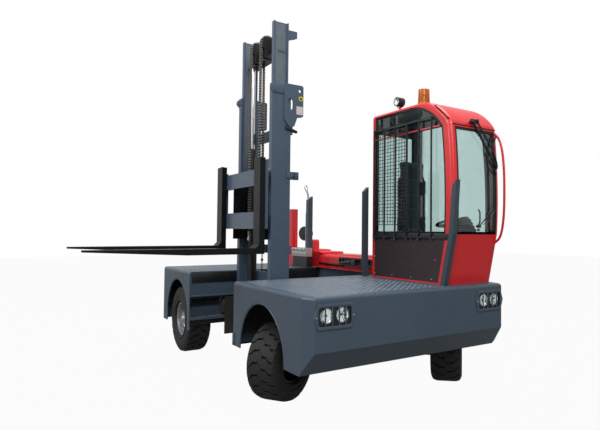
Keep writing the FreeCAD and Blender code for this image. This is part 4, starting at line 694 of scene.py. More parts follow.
def laid_over(finish, share, code):
    """Lay a second colour over a finish, as far as the share says."""
    tree = finish.node_tree
    colour = tree.nodes["Principled BSDF"].inputs["Base Color"]
    skin = add(tree, "Mix", {"Factor": share, "A": colour.links[0].from_socket,
                             "B": tone(code)}, data_type="RGBA")
    tree.links.new(result(skin), colour)


# The rails are slate enamel; painted shade with a ragged edge darkens their upper halves, which
# the top flange shades.
rail_paint = sprayed_paint("rail_enamel_painted_shade", "3B4751", gloss=0.3, drift=0.12)
tree = rail_paint.node_tree
coords = add(tree, "TexCoord").outputs["Object"]
height = add(tree, "SeparateXYZ", {"Vector": coords}).outputs["Z"]
shade_ragging = add(tree, "TexNoise", {"Vector": coords, "Scale": 3.0, "Detail": 6.0})
edge = add(tree, "Math", {0: shade_ragging.outputs["Fac"], 1: 0.05}, operation="MULTIPLY")
level = add(tree, "Math", {0: height, 1: edge.outputs[0]}, operation="SUBTRACT")
flange_shade = add(tree, "MapRange", {"Value": level.outputs[0], "From Min": 0.585, "From Max": 0.61})
laid_over(rail_paint, result(flange_shade), "0E1113")
paint_nodes(rail_paint, "traverse_rails")
paint_nodes(slate_enamel, "engine_bay_panels")


def bare_metal(name, dark, light, rough, scale=40.0):
    """Machined or drawn steel, with fine drifts of tone and polish."""
    film = {"Scale": scale, "Detail": 5.0, "Roughness": 0.65}
    finish = two_tone(name, "TexNoise", film, (dark, light), (rough - 0.08, rough + 0.1),
                      span=(0.3, 0.7), metallic=1.0)
    grained(finish, "TexNoise", film, 0.15, 0.0006)
    return finish


machined_steel = bare_metal("machined_steel", "8C8F91", "B4B6B6", 0.34)
hard_chrome = bare_metal("hard_chrome", "C6C9CC", "DFE1E3", 0.14, scale=8.0)
paint_nodes(hard_chrome, "lift_rods", "tilt_rods")

strips = []
for x0, x1 in ((-0.987, -0.913), (0.553, 0.627)):
    for z in (0.507, 0.7335):
        strips.append(slab((x0, -1.070, z - 0.0012), (x1, 0.690, z + 0.0012), 0.0004, 1))
shape_up(joined(strips), "rail_wear_strips", machined_steel, "chassis")

# A flat black strip with a rounded end runs along the rear deck's well wall, just under the deck's
# top edge.
dark_strip = joined([slab((-0.9115, -1.068, 0.918), (-0.9060, -0.060, 1.046), 0.002),
                 rod((-0.9115, -0.062, 0.982), (-0.9060, -0.062, 0.982), 0.064, 32, 0.002)])
shape_up(dark_strip, "well_dark_strip", flat_black, "chassis")
apron = joined([slab((-0.9115, 0.060, 0.790), (-0.9065, 0.694, 1.052), 0.002),
                slab((-0.9115, 0.060, 0.918), (-0.9050, 0.694, 0.926), 0.002)])
shape_up(apron, "well_rear_apron", flat_black, "chassis")
lips = []
for x in (-0.908, 0.548):
    for low, high in ((0.752, 0.774), (0.470, 0.506)):
        lips.append(slab((x - 0.004, -1.086, low), (x + 0.004, 0.690, high), 0.002))
shape_up(joined(lips), "rail_edge_strips", slate_enamel, "chassis")

# Engine bay: pressed louvres that face the well.
louvre = slab((-0.40, 0.690, 0.70), (-0.20, 0.7005, 0.712), 0.003, 1)
moves = [Vector((0.24 * i, 0, 0.045 * j)) for i in range(3) for j in range(5)]
shape_up(copied(louvre, moves), "bay_louvres", slate_enamel, "chassis")

red_enamel = sprayed_paint("signal_red_enamel", "E0282D", gloss=0.30, drift=0.03)
shader = red_enamel.node_tree.nodes["Principled BSDF"]
shader.inputs["Coat Weight"].default_value = 0.15
shader.inputs["Coat Roughness"].default_value = 0.15
paint_nodes(red_enamel, "engine_hood", "rear_cowl", "air_cleaner_housing", "cab_frame",
            "cab_roof", "cab_door", "cab_front_panel", "grab_handle")
paint_nodes(black_satin, "hood_grille", "hydraulic_unit")
cast_grey = sprayed_paint("cast_iron_grey", "4A4C4E", gloss=0.62, drift=0.2)
paint_nodes(cast_grey, "engine")

# Hood: a raised lid with a pressed ridge, a drip ledge and an edge trough with
# its pipe coupling, and a step at the rear.
lid = slab((-0.86, 0.745, 1.236), (0.50, 1.045, 1.246), 0.004)
ridge = slab((-0.62, 0.780, 1.244), (0.26, 1.010, 1.256), 0.010, 3)
shape_up(joined([lid, ridge]), "hood_lid", red_enamel, "chassis")
seam = slab((-0.909, 0.6975, 1.060), (0.549, 0.7005, 1.068), 0.001, 1)
lip = slab((-0.905, 0.640, 1.062), (0.545, 0.702, 1.070), 0.003)
shape_up(joined([seam, lip]), "bay_drip_ledge", red_enamel, "chassis")
tray = [slab((-0.800, 0.640, 1.122), (0.545, 0.7005, 1.130), 0.002),
        slab((-0.909, 0.6935, 1.096), (-0.240, 0.7005, 1.134), 0.003)]
shape_up(joined(tray), "bay_edge_trough", flat_black, "chassis")
fitting = [rod((-0.30, 0.668, 1.150), (-0.08, 0.668, 1.172), 0.013, 20, 0.003),
           rod((-0.14, 0.668, 1.166), (-0.10, 0.668, 1.170), 0.022, 6, 0.003),
           rod((-0.08, 0.668, 1.172), (0.01, 0.672, 1.184), 0.010, 16, 0.002),
           slab((-0.02, 0.650, 1.130), (0.02, 0.690, 1.200), 0.004)]
shape_up(joined(fitting), "trough_coupling", cast_grey, "chassis")
step = slab((-0.914, 0.702, 1.240), (-0.840, 1.060, 1.274), 0.006, 3)
shape_up(step, "hood_rear_step", red_enamel, "chassis")

# ---------------------------------------------------------------------------
# Rear cowl, filter housing and control valves.  Red folded covers stand
# behind the mast; the black tank in front of the post carries the aluminium
# valve bank.
# ---------------------------------------------------------------------------
POST_X = -1.730
gussets = []
for z in (1.42, 1.62):
    gussets.append(slab((POST_X - 0.035, 0.690, z), (POST_X + 0.035, 0.712, z + 0.055), 0.004))
for k in (-1, 1):
    x = POST_X + k * 0.034
    rib = slab((x - 0.004, 0.640, 1.300), (x + 0.004, 0.700, 1.560), 0.002, 1)
    for v in rib.data.vertices:
        if v.co.z > 1.45 and v.co.y < MID_Y + 0.67:
            v.co.y = MID_Y + 0.694
    gussets.append(rib)
shape_up(joined(gussets), "post_gussets", red_enamel, "chassis")

housing_low, housing_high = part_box("air_cleaner_housing")
beads = []
for x in (housing_low.x + 0.012, housing_low.x + 0.078):
    beads.append(block((x - 0.005, housing_low.y - 0.001, 1.075),
                       (x + 0.005, housing_low.y + 0.003, 1.350), 0.0015, 1))
beads.append(block((housing_low.x + 0.100, housing_low.y - 0.001, 1.248),
                   (housing_high.x - 0.010, housing_low.y + 0.003, 1.258), 0.0015, 1))
shape_up(joined(beads), "housing_seams", red_enamel, "chassis")

# Valve bank: cast sections with spool caps, solenoid coils and blanking plugs.
bank_low, bank_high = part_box("valve_block")
cast_alloy = bare_metal("cast_aluminium", "A9ABAC", "CFD1D1", 0.42, scale=160.0)
paint_nodes(cast_alloy, "valve_block")
caps = []
rows = 5
for k in range(rows):
    x = bank_low.x + (bank_high.x - bank_low.x) * (k + 0.5) / rows
    caps.append(bar((x, bank_low.y + 0.002, bank_high.z - 0.022),
                    (x, bank_low.y - 0.028, bank_high.z - 0.022), 0.013, 18, 0.002))
    caps.append(bar((x, bank_low.y - 0.027, bank_high.z - 0.022),
                    (x, bank_low.y - 0.034, bank_high.z - 0.022), 0.008, 6, 0.001))
    caps.append(block((x - 0.030, bank_low.y - 0.003, bank_low.z + 0.012),
                      (x + 0.030, bank_low.y + 0.002, bank_low.z + 0.060), 0.003, 2))
shape_up(joined(caps), "valve_spool_caps", cast_alloy, "chassis")
# Hose reel behind the rear stanchion: a flanged drum on a flat bracket.
REEL_AT = on_truck(-1.230, 0.672, 1.530)
REEL_R = 0.104
outline = [(-0.006, 0.0), (-0.006, REEL_R - 0.004), (-0.002, REEL_R), (0.003, REEL_R),
           (0.006, REEL_R - 0.004), (0.008, 0.070), (0.012, 0.064), (0.046, 0.064),
           (0.050, 0.070), (0.052, REEL_R - 0.004), (0.055, REEL_R), (0.060, REEL_R),
           (0.064, REEL_R - 0.004), (0.064, 0.030), (0.074, 0.026), (0.074, 0.0)]
reel = [spun(outline, REEL_AT, (0.45, -0.89, 0), 48)]
reel.append(block(REEL_AT + Vector((-0.040, 0.004, -0.34)),
                  REEL_AT + Vector((0.040, 0.016, 0.06)), 0.003))
reel.append(block(REEL_AT + Vector((-0.040, -0.040, -0.346)),
                  REEL_AT + Vector((0.040, 0.060, -0.334)), 0.003))
shape_up(joined(reel), "hose_reel", black_satin, "chassis")
runner = slab((-1.150, 0.600, 1.320), (-1.134, 0.612, 1.830), 0.003)
shape_up(runner, "stanchion_side_rail", bright_zinc, "chassis")

# A bent strap eye over the rear stanchion holds the load rope.
eye = tube([(-1.085, 0.600, 2.020), (-1.085, 0.596, 2.110),
            (-1.085, 0.560, 2.150), (-1.085, 0.545, 2.205),
            (-1.085, 0.570, 2.225), (-1.085, 0.592, 2.195),
            (-1.085, 0.588, 2.150), (-1.085, 0.612, 2.100),
            (-1.085, 0.615, 2.020)], 0.0065, 12)
shape_up(eye, "rope_eye", bright_zinc, "chassis")

# ---------------------------------------------------------------------------
# Traverse carriage.  Burnt and welded plate, primed black, that rolls across
# the truck in the C-rails on four big track rollers.
# ---------------------------------------------------------------------------
paint_nodes(chassis_black, "traverse_carriage", "tilt_barrels")
steel_rim = bare_metal("rolled_steel_rim", "6E7173", "A4A6A6", 0.38)
paint_nodes(steel_rim, "traverse_rollers")
roller_low, roller_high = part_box("traverse_rollers")
roller_r = (roller_high.z - roller_low.z) / 2
roller_z = (roller_high.z + roller_low.z) / 2
faces = []
for y in (roller_low.y + roller_r, roller_high.y - roller_r):
    for x, way in ((roller_low.x, 1), (roller_high.x, -1)):
        hub = [(-0.001, 0.55), (0.0015, 0.54), (0.0022, 0.46), (0.0006, 0.42), (0.0006, 0.26),
               (0.0030, 0.24), (0.0036, 0.12), (0.0036, 0.0), (-0.001, 0.0)]
        faces.append(ring_of([(a, roller_r * share) for a, share in hub], (x, y, roller_z),
                             (-way, 0, 0), 36))
shape_up(joined(faces), "roller_hubs", chassis_black, "mast_carriage")

# ---------------------------------------------------------------------------
# Mast.  Two nested pairs of rolled channel: the outer ones are tied together
# by cross members, and the inner ones ride up between them.
# ---------------------------------------------------------------------------
MAST_MID = -0.180
MAST_X = MID_X + MAST_MID
mast_enamel = sprayed_paint("mast_enamel", "48596B", gloss=0.30, drift=0.06)
paint_nodes(mast_enamel, "outer_mast", "fork_carriage")
# The inner mast's head is painted darker between the channels, from about 3.4 m up.
head_enamel = sprayed_paint("mast_enamel_darker_head", "48596B", gloss=0.30, drift=0.06)
tree = head_enamel.node_tree
axes = add(tree, "SeparateXYZ", {"Vector": add(tree, "TexCoord").outputs["Object"]})
across = add(tree, "Math", {0: axes.outputs["X"], 1: MAST_X}, operation="SUBTRACT")
across = add(tree, "Math", {0: across.outputs[0]}, operation="ABSOLUTE")
near = add(tree, "MapRange", {"Value": across.outputs[0], "From Min": 0.36, "From Max": 0.30})
high = add(tree, "MapRange", {"Value": axes.outputs["Z"], "From Min": 3.40, "From Max": 3.55})
dark_head_share = add(tree, "Math", {0: result(near), 1: result(high)}, operation="MULTIPLY")
laid_over(head_enamel, dark_head_share.outputs[0], "1E2124")
paint_nodes(head_enamel, "inner_mast")
inner_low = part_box("inner_mast")[0]
UPRIGHT_Y = (on_truck(0, -0.600, 0).y, on_truck(0, -0.374, 0).y)
UPRIGHT_MID = (UPRIGHT_Y[0] + UPRIGHT_Y[1]) / 2
OUTER_HALF = 0.483
TILT_PIN_Z = 0.330
TIE_Z = 2.1825
trim = []
for side in (-1, 1):
    face = MAST_X + side * OUTER_HALF
    # Doubler collar welded round the head of each outer upright.
    low = min(face, face + side * 0.012)
    trim.append(block((low, UPRIGHT_Y[0] - 0.004, 3.085),
                      (low + 0.012, UPRIGHT_Y[1] + 0.02, 3.192), 0.004))
    trim.append(bar((low, UPRIGHT_Y[0] + 0.012, 3.140), (low + 0.016, UPRIGHT_Y[0] + 0.012, 3.140),
                    0.046, 28, 0.003))
    # Foot doubler where the tilt pin passes.
    trim.append(bar((low, UPRIGHT_MID, TILT_PIN_Z), (low + 0.006, UPRIGHT_MID, TILT_PIN_Z),
                    0.075, 32, 0.002))
    # Round-ended cheek over the tie bracket, with the head of its pin.
    tail = UPRIGHT_Y[1] + 0.058
    trim.append(block((low, UPRIGHT_Y[1] - 0.046, 2.146), (low + 0.012, tail, 2.219), 0.004))
    trim.append(bar((low, tail, TIE_Z), (low + 0.012, tail, TIE_Z), 0.0365, 28, 0.004))
    trim.append(bar((low + 0.010, tail - 0.030, TIE_Z), (low + 0.018, tail - 0.030, TIE_Z),
                    0.020, 24, 0.003))
    # Blunt hook under each ear plate, cut from thick plate.
    hook = block((face - 0.004 * side - 0.022, UPRIGHT_Y[1] - 0.070, 2.660),
                 (face - 0.004 * side + 0.022, UPRIGHT_Y[1] + 0.078, 2.704), 0.006)
    for v in hook.data.vertices:
        reach = (v.co.y - UPRIGHT_Y[1] + 0.070) / 0.148
        v.co.z += 0.034 * (1 - reach) ** 2 - 0.016 * reach
        if v.co.z < 2.68:
            v.co.z += 0.018 * reach
    shape_up(hook, ("rear", "front")[side > 0] + "_ear_hook", black_satin, "mast")
shape_up(joined(trim), "outer_mast_doublers", mast_enamel, "mast")

braces = []
for side in (-1, 1):
    x0 = MAST_X + side * 0.399
    plate = block((min(x0, x0 + side * 0.012), UPRIGHT_Y[1] - 0.080, 3.690),
                  (max(x0, x0 + side * 0.012), UPRIGHT_Y[1] + 0.105, 3.845), 0.002, 1)
    for v in plate.data.vertices:
        if v.co.y > UPRIGHT_Y[1] and v.co.z < 3.75:
            v.co.z = 3.768
    braces.append(plate)
    braces.append(block((min(x0, x0 - side * 0.060), UPRIGHT_Y[1] + 0.070, 3.770),
                        (max(x0, x0 - side * 0.060), UPRIGHT_Y[1] + 0.100, 3.842), 0.003))
shape_up(joined(braces), "inner_mast_braces", mast_enamel, "inner_mast_stage")

# Webs of the inner channels, rubbed bare by the rollers on both faces.
rubbed_steel = bare_metal("rubbed_mast_steel", "535D67", "7B858D", 0.45, scale=24.0)
shader = rubbed_steel.node_tree.nodes["Principled BSDF"]
shader.inputs["Metallic"].default_value = 0.4
tracks = []
for side in (-1, 1):
    for reach in (0.4363, 0.4237):
        x = MAST_X + side * reach
        tracks.append(block((x - 0.0006, inner_low.y + 0.026, 2.20),
                            (x + 0.0006, on_truck(0, -0.425, 0).y, 3.885), 0.0))
shape_up(joined(tracks), "rubbed_mast_tracks", rubbed_steel, "inner_mast_stage",
         smooth=False)

# Plain round marker and plain plate on the front ear, both left blank.
sign_yellow = sprayed_paint("sign_yellow_film", "D9C21E", gloss=0.3, drift=0.04)
sign_white = sprayed_paint("sign_white_film", "D9C9CB", gloss=0.3, drift=0.03)
ear_x = MAST_X + OUTER_HALF + 0.020
marker_y, MARKER_Z = on_truck(0, -0.262, 0).y, 3.055
disc = bar((ear_x - 0.0006, marker_y, MARKER_Z), (ear_x + 0.0010, marker_y, MARKER_Z),
           0.028, 32, 0.0004)
shape_up(disc, "blank_round_marker", sign_yellow, "mast")
inner_disc = bar((ear_x + 0.0004, marker_y, MARKER_Z), (ear_x + 0.0016, marker_y, MARKER_Z),
                 0.014, 24, 0.0004)
shape_up(inner_disc, "blank_marker_middle", chassis_black, "mast")
card = block((ear_x - 0.0006, on_truck(0, -0.316, 0).y, 2.872),
             (ear_x + 0.0010, on_truck(0, -0.234, 0).y, 2.965), 0.0005, 1)
shape_up(card, "blank_plate", sign_white, "mast")

# ---------------------------------------------------------------------------
# Lift chains.  Leaf chains of punched plates and riveted pins run from the
# outer mast over the head pulleys to the fork carriage; each replaces its
# plain strip.
# ---------------------------------------------------------------------------
CHAIN_PITCH = 0.01588
CHAIN_PAIR = 0.140
chain_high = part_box("lift_chains")[1]
wheel_low, wheel_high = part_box("chain_pulleys")
PULLEY_Y = (wheel_low.y + wheel_high.y) / 2
PULLEY_Z = (wheel_low.z + wheel_high.z) / 2
CHAIN_R = chain_high.z - PULLEY_Z - 0.006
FRONT_FOOT, BACK_FOOT = 1.545, 1.305
paint_nodes(chassis_black, "chain_pulleys")


def chain_spot(along):
    """Centre and direction of the chain a distance from its carriage end."""
    straight = PULLEY_Z - FRONT_FOOT
    if along < straight:
        return Vector((0, PULLEY_Y - CHAIN_R, FRONT_FOOT + along)), Vector((0, 0, 1))
    bend = along - straight
    if bend < math.pi * CHAIN_R:
        a = math.pi - bend / CHAIN_R
        centre = Vector((0, PULLEY_Y + CHAIN_R * math.cos(a), PULLEY_Z + CHAIN_R * math.sin(a)))
        return centre, Vector((0, math.sin(a), -math.cos(a)))
    down = bend - math.pi * CHAIN_R
    return Vector((0, PULLEY_Y + CHAIN_R, PULLEY_Z - down)), Vector((0, 0, -1))


def link(offsets, pin_half):
    """One link: plates with cut corners, and the pin through its upper end."""
    plates = []
    for x in offsets:
        deselect()
        bpy.ops.mesh.primitive_cube_add(size=1, location=(x, 0, 0))
        plate = bpy.context.object
        plate.scale = (0.0046, 0.0150, CHAIN_PITCH * 1.52)
        settle()
        bevelled(plate, lambda a, b: abs(a.z - b.z) < SAME and abs(a.y - b.y) < SAME, 0.0046, 1)
        plates.append(plate)
    pin = bar((-pin_half, 0, CHAIN_PITCH / 2), (pin_half, 0, CHAIN_PITCH / 2), 0.0042, 8)
    return joined(plates + [pin])


wide = link((-0.0225, -0.0120, 0.0120, 0.0225), 0.0265)
slim = link((-0.0172, 0.0, 0.0172), 0.0265)
total = (PULLEY_Z - FRONT_FOOT) + math.pi * CHAIN_R + (PULLEY_Z - BACK_FOOT)
places = ([], [])
for k in range(int(total / CHAIN_PITCH)):
    centre, way = chain_spot((k + 0.5) * CHAIN_PITCH)
    across = Vector((1, 0, 0))
    turn = Matrix((across, way.cross(across), way)).transposed().to_4x4()
    for side in (-1, 1):
        shift = Matrix.Translation((MAST_X + side * CHAIN_PAIR, 0, 0))
        places[k % 2].append(shift @ Matrix.Translation(centre) @ turn)
chains = joined([copied(wide, places[0]), copied(slim, places[1])])
# Bands of wear, one to every two pitches, show the plates' bare steel.
chain_paint = bare_metal("oiled_leaf_chain", "2C2B29", "4B4844", 0.36, scale=90.0)
tree = chain_paint.node_tree
height = add(tree, "SeparateXYZ", {"Vector": add(tree, "TexCoord").outputs["Object"]}).outputs["Z"]
turns = add(tree, "Math", {0: height, 1: 1 / (2 * CHAIN_PITCH)}, operation="MULTIPLY")
phase = add(tree, "Math", {0: turns.outputs[0]}, operation="FRACT")
swing = add(tree, "Math", {0: phase.outputs[0], 1: 0.5}, operation="SUBTRACT")
swing = add(tree, "Math", {0: swing.outputs[0]}, operation="ABSOLUTE")
rubbed = add(tree, "MapRange", {"Value": swing.outputs[0], "From Min": 0.22, "From Max": 0.30})
laid_over(chain_paint, result(rubbed), "B9B5AC")
shape_up(chains, "leaf_chains", chain_paint, "inner_mast_stage", smooth=False)
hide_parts("lift_chains")

# Chain anchors: an eye, a threaded rod and two nuts at each lower end.
anchors = []
for side in (-1, 1):
    x = MAST_X + side * CHAIN_PAIR
    y = PULLEY_Y - CHAIN_R
    anchors.append(block((x - 0.019, y - 0.009, FRONT_FOOT - 0.035),
                         (x + 0.019, y + 0.009, FRONT_FOOT + 0.012), 0.003))
    anchors.append(bar((x, y, FRONT_FOOT - 0.100), (x, y, FRONT_FOOT - 0.030), 0.009, 14))
    for z in (0.062, 0.078):
        anchors.append(bar((x, y, FRONT_FOOT - z - 0.012), (x, y, FRONT_FOOT - z), 0.017, 6,
                           0.0015))
shape_up(joined(anchors), "chain_anchors", bright_zinc, "lift_carriage")

# ---------------------------------------------------------------------------
# Lift and tilt cylinders.  Honed steel tubes in black paint with gland nuts;
# the rods are hard chrome.
# ---------------------------------------------------------------------------
paint_nodes(black_satin, "lift_cylinder_barrels")
barrel_low, barrel_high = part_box("lift_cylinder_barrels")
glands = []
for side in (-1, 1):
    centre = Vector((MAST_X + side * 0.315, (barrel_low.y + barrel_high.y) / 2, 0))
    glands.append(ring_of([(2.500, 0.0425), (2.502, 0.0455), (2.556, 0.0455), (2.564, 0.040),
                           (2.566, 0.027), (2.500, 0.027)], centre, (0, 0, 1), 36))
    for z in (0.80, 1.60):
        glands.append(ring_of([(z, 0.0422), (z, 0.0460), (z + 0.030, 0.0460),
                               (z + 0.030, 0.0422)], centre, (0, 0, 1), 36))
shape_up(joined(glands), "lift_cylinder_glands", black_satin, "mast")
tubes = []
for side in (-1, 1):
    x = MAST_X + side * 0.235
    y = UPRIGHT_Y[1] - 0.006
    tubes.append(pipe([(x, y, 0.42), (x, y, 2.20), (x, y, 2.36), (x, y, 2.44)], 0.007, 12))
    for z in (0.70, 1.20, 1.80, 2.30):
        tubes.append(block((x - 0.020, y - 0.010, z), (x + 0.020, y + 0.010, z + 0.025), 0.003))
shape_up(joined(tubes), "mast_oil_tubes", black_satin, "mast")

# ---------------------------------------------------------------------------
# Fork carriage and forks.  Slate cross bars are welded between black side
# plates with guide rollers; the forks are forged, hooked over the bars and
# held by spring pins.
# ---------------------------------------------------------------------------
fork_black = sprayed_paint("fork_black", "0A0D11", gloss=0.34, drift=0.2)
tree = fork_black.node_tree
tree.nodes["Principled BSDF"].inputs["Specular IOR Level"].default_value = 0.22
streak = add(tree, "Mapping", {"Vector": add(tree, "TexCoord").outputs["Object"],
                               "Scale": (30.0, 2.0, 30.0)})
scuff = add(tree, "TexNoise", {"Vector": streak.outputs[0], "Scale": 1.0, "Detail": 8.0,
                               "Roughness": 0.7})
worn = add(tree, "MapRange", {"Value": scuff.outputs["Fac"], "From Min": 0.66,
                              "From Max": 0.80, "To Max": 0.30})
laid_over(fork_black, result(worn), "2C2E30")
paint_nodes(fork_black, "forks", "carriage_side_plates")
fork_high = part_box("forks")[1]
plate_low, plate_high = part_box("carriage_side_plates")
FORK_HALF = 0.5675
face = on_truck(0, -0.800, 0).y
fittings = []
for side in (-1, 1):
    x = MAST_X + side * FORK_HALF
    for z in (1.690, 2.140):
        fittings.append(block((x - 0.055, face + 0.058, z - 0.075),
                              (x + 0.055, face + 0.072, z + 0.075), 0.004))
    knob = spun([(0.0, 0.016), (0.006, 0.017), (0.012, 0.012), (0.014, 0.0)],
                (x, face + 0.030, fork_high.z - 0.001), (0, 0, 1), 24)
    fittings.append(knob)
shape_up(joined(fittings), "fork_hooks_and_pins", fork_black, "lift_carriage")
bolts = []
for side in (-1, 1):
    x = plate_high.x if side > 0 else plate_low.x
    for z in (1.45, 1.62, 1.90, 2.10):
        if plate_low.z + 0.03 < z < plate_high.z - 0.03:
            bolts.append(facing((side, 0, 0), Vector((x, (plate_low.y + plate_high.y) / 2, z))))
shape_up(copied(screw(0.015, 0.003), bolts), "side_plate_bolts", bright_zinc,
         "lift_carriage")

# ---------------------------------------------------------------------------
# Tyres.  Solid industrial tyres: a ribbed sidewall and thick zigzag lugs that
# run from each shoulder to the middle of the tread.  Each one replaces its
# plain ring, and is moulded standing at the origin before it is set in place.
# ---------------------------------------------------------------------------
tyre_rubber = two_tone("tyre_rubber", "TexNoise",
                       {"Scale": 7.0, "Detail": 8.0, "Roughness": 0.7}, ("121212", "232120"),
                       (0.55, 0.85))
grained(tyre_rubber, "TexNoise", {"Scale": 220.0, "Detail": 3.0}, 0.25, 0.0008)

LUG_DEEP = 0.024
wheels = ["front_right", "front_left", "rear_right", "rear_left"]
spins = {j["child"]: j for j in frame["record"]["behaviour"]["joints"]
         if j["child"].endswith("wheel")}


def tyre(radius, width, rim, lugs, block_share):
    """A tyre on the Z axis: carcass, sidewall ribs, and two rows of lugs."""
    half = width / 2
    floor_r = radius - LUG_DEEP
    side_r = rim + 0.006
    # One sidewall from the bead out: share of the half width, share of the wall's height.
    ribs = ((1.0, 0.16), (0.955, 0.20), (0.955, 0.34), (1.0, 0.38), (1.0, 0.58), (0.975, 0.72))
    wall = [(-half * 0.86, side_r), (-half * 0.98, side_r + 0.012)]
    wall += [(-half * a, rim + (radius - rim) * b) for a, b in ribs] + [(-half * 0.90, floor_r)]
    outline = wall + [(0, floor_r + 0.004)] + [(-a, r) for a, r in reversed(wall)]
    carcass = ring_of(outline, (0, 0, 0), (0, 0, 1), 72)
    # A lug in developed form: rows run from the shoulder to the middle of the
    # tread, where the lugs of both sides meet in a zigzag.
    step = 2 * math.pi / lugs
    # Each row: share of the half width, drift round the tyre, and drop at the shoulder.
    rows = ((0.972, 0.0, 0.045), (0.85, 0.02, 0.012), (0.60, 0.10, 0.0), (0.46, 0.40, 0.0),
            (0.20, 0.44, 0.0), (0.030, 0.58, 0.0))
    foot = floor_r - 0.010
    columns = ((-0.5, foot, 0.05), (-0.46, radius, 0.05), (0.0, radius, -0.16),
               (0.46, radius, 0.05), (0.5, foot, 0.05))
    low_r = rim + (radius - rim) * 0.62
    verts = []
    faces = []
    for side in (-1, 1):
        for k in range(lugs):
            base = (k + 0.5 * (side > 0)) * step
            first = len(verts)
            for a, drift, drop in rows:
                for share, height, point in columns:
                    z = side * half * (a + point * (a < 0.1))
                    height -= drop
                    angle = base + (drift + share * block_share) * step
                    verts.append((height * math.cos(angle), height * math.sin(angle), z))
            for share, height, point in columns:
                angle = base + share * 0.9 * block_share * step
                verts.append((low_r * math.cos(angle), low_r * math.sin(angle),
                              side * half * (0.975 if abs(share) == 0.5 else 1.0)))
            for r in range(len(rows) - 1):
                for c in range(4):
                    i = first + r * 5 + c
                    faces.append((i, i + 1, i + 6, i + 5))
            last = first + (len(rows) - 1) * 5
            faces.append(tuple(last + c for c in range(5)))
            butt = first + len(rows) * 5
            for c in range(4):
                faces.append((first + c + 1, first + c, butt + c, butt + c + 1))
            faces.append(tuple(butt + c for c in range(5)))
    mesh = bpy.data.meshes.new("lugs")
    mesh.from_pydata(verts, [], faces)
    tread = from_data("lugs", mesh)
    edit()
    bpy.ops.mesh.normals_make_consistent(inside=False)
    leave_edit()
    return joined([carcass, tread])


def axle_turn(word):
    """Matrix from the Z axis at the origin to a wheel's axle; +Z looks outward."""
    low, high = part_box(word + "_tyre")
    centre = (low + high) / 2
    axis = Vector(spins[word + "_wheel"]["axis"])
    outward = -1 if "right" in word else 1
    if axis.y * outward < 0:
        axis = -axis
    return facing(axis, centre)


# Radius, width, rim radius, lugs to a side, and the share of the pitch a lug fills.
SIZES = {"front": (0.360, 0.320, 0.190, 21, 0.86), "rear": (0.420, 0.290, 0.215, 24, 0.78)}
for word in wheels:
    radius, width, rim, lugs, block_share = SIZES[word.split("_")[0]]
    casing = tyre(radius - 0.0008, width - 0.001, rim, lugs, block_share)
    casing.data.transform(axle_turn(word))
    shape_up(casing, word + "_lugged_tyre", tyre_rubber, word + "_wheel")
    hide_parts(word + "_tyre")

# ---------------------------------------------------------------------------
# Rims.  Pressed and welded steel, silver at the rear and black at the front: a
# lock ring, a dished disc with ten nuts on studs, and the hub's grease cap.
# ---------------------------------------------------------------------------
rim_silver = sprayed_paint("rim_silver", "B4B7BA", gloss=0.36, drift=0.05, dust=0.22)
shader = rim_silver.node_tree.nodes["Principled BSDF"]
shader.inputs["Metallic"].default_value = 0.55
hub_black = sprayed_paint("hub_black_paint", "1C1D20", gloss=0.30, drift=0.12)
nut_steel = bare_metal("wheel_nut_steel", "6E706F", "A9A8A2", 0.38)
STUD_RING_R = 0.098
studs = [2 * math.pi * k / 10 for k in range(10)]
for word in wheels:
    finish = rim_silver if "rear" in word else hub_black
    paint_nodes(finish, word + "_rim")
    radius, width, rim = SIZES[word.split("_")[0]][:3]
    turn = axle_turn(word)
    lip = width / 2 - 0.034
    ring = ring_of([(lip - 0.024, rim - 0.002), (lip - 0.004, rim - 0.0005),
                    (lip + 0.006, rim - 0.005), (lip + 0.004, rim - 0.016),
                    (lip - 0.020, rim - 0.018)], (0, 0, 0), (0, 0, 1), 60)
    dish_r = rim - 0.017
    disc = ring_of([(0.031, dish_r), (0.045, dish_r - 0.012), (0.050, dish_r - 0.030),
                    (0.034, dish_r - 0.048), (0.0315, 0.072), (0.0305, 0.070),
                    (0.0305, dish_r)], (0, 0, 0), (0, 0, 1), 60)
    cap = ring_of([(0.0955, 0.0), (0.110, 0.0), (0.116, 0.012), (0.116, 0.030),
                   (0.108, 0.040), (0.0955, 0.044)], (0, 0, 0), (0, 0, 1), 32)
    face = joined([ring, disc, cap])
    face.data.transform(turn)
    shape_up(face, word + "_rim_face", finish, word + "_wheel")
    nut = joined([bar((0, 0, 0.029), (0, 0, 0.050), 0.0135, 6, 0.0015),
                  bar((0, 0, 0.045), (0, 0, 0.060), 0.0075, 12, 0.001)])
    nuts = copied(nut, [turn @ Matrix.Translation((STUD_RING_R * math.cos(a),
                                                   STUD_RING_R * math.sin(a), 0))
                        for a in studs])
    shape_up(nuts, word + "_wheel_nuts", nut_steel, word + "_wheel")

# ---------------------------------------------------------------------------
# Cab shell.  Panels folded and welded over a tube frame, in red enamel, with
# a dark plastic-coated panel low on the load side.
# ---------------------------------------------------------------------------
dark_panel = sprayed_paint("dark_coated_panel", "2E2226", gloss=0.42, drift=0.08)
paint_nodes(dark_panel, "cab_lower_panels")
paint_nodes(black_satin, "cab_floor", "window_guard")
panel_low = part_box("cab_lower_panels")[0]
places = [(x, z) for x in (0.800, 1.110, 1.430, 1.750) for z in (1.100, 1.480)]
heads = [facing((0, -1, 0), (MID_X + x, panel_low.y, z))
         for x, z in places + [(0.800, 1.290), (1.800, 1.290)]]
shape_up(copied(screw(0.007, 0.004), heads), "cab_panel_screws", bright_zinc, "chassis")

# Folded rain gutter over the load side's window.
frame_low, frame_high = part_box("cab_frame")
gutter = block((frame_low.x + 0.030, frame_low.y - 0.006, 2.590),
               (frame_high.x - 0.190, frame_low.y + 0.004, 2.604), 0.003)
shape_up(gutter, "roof_gutter", red_enamel, "chassis")

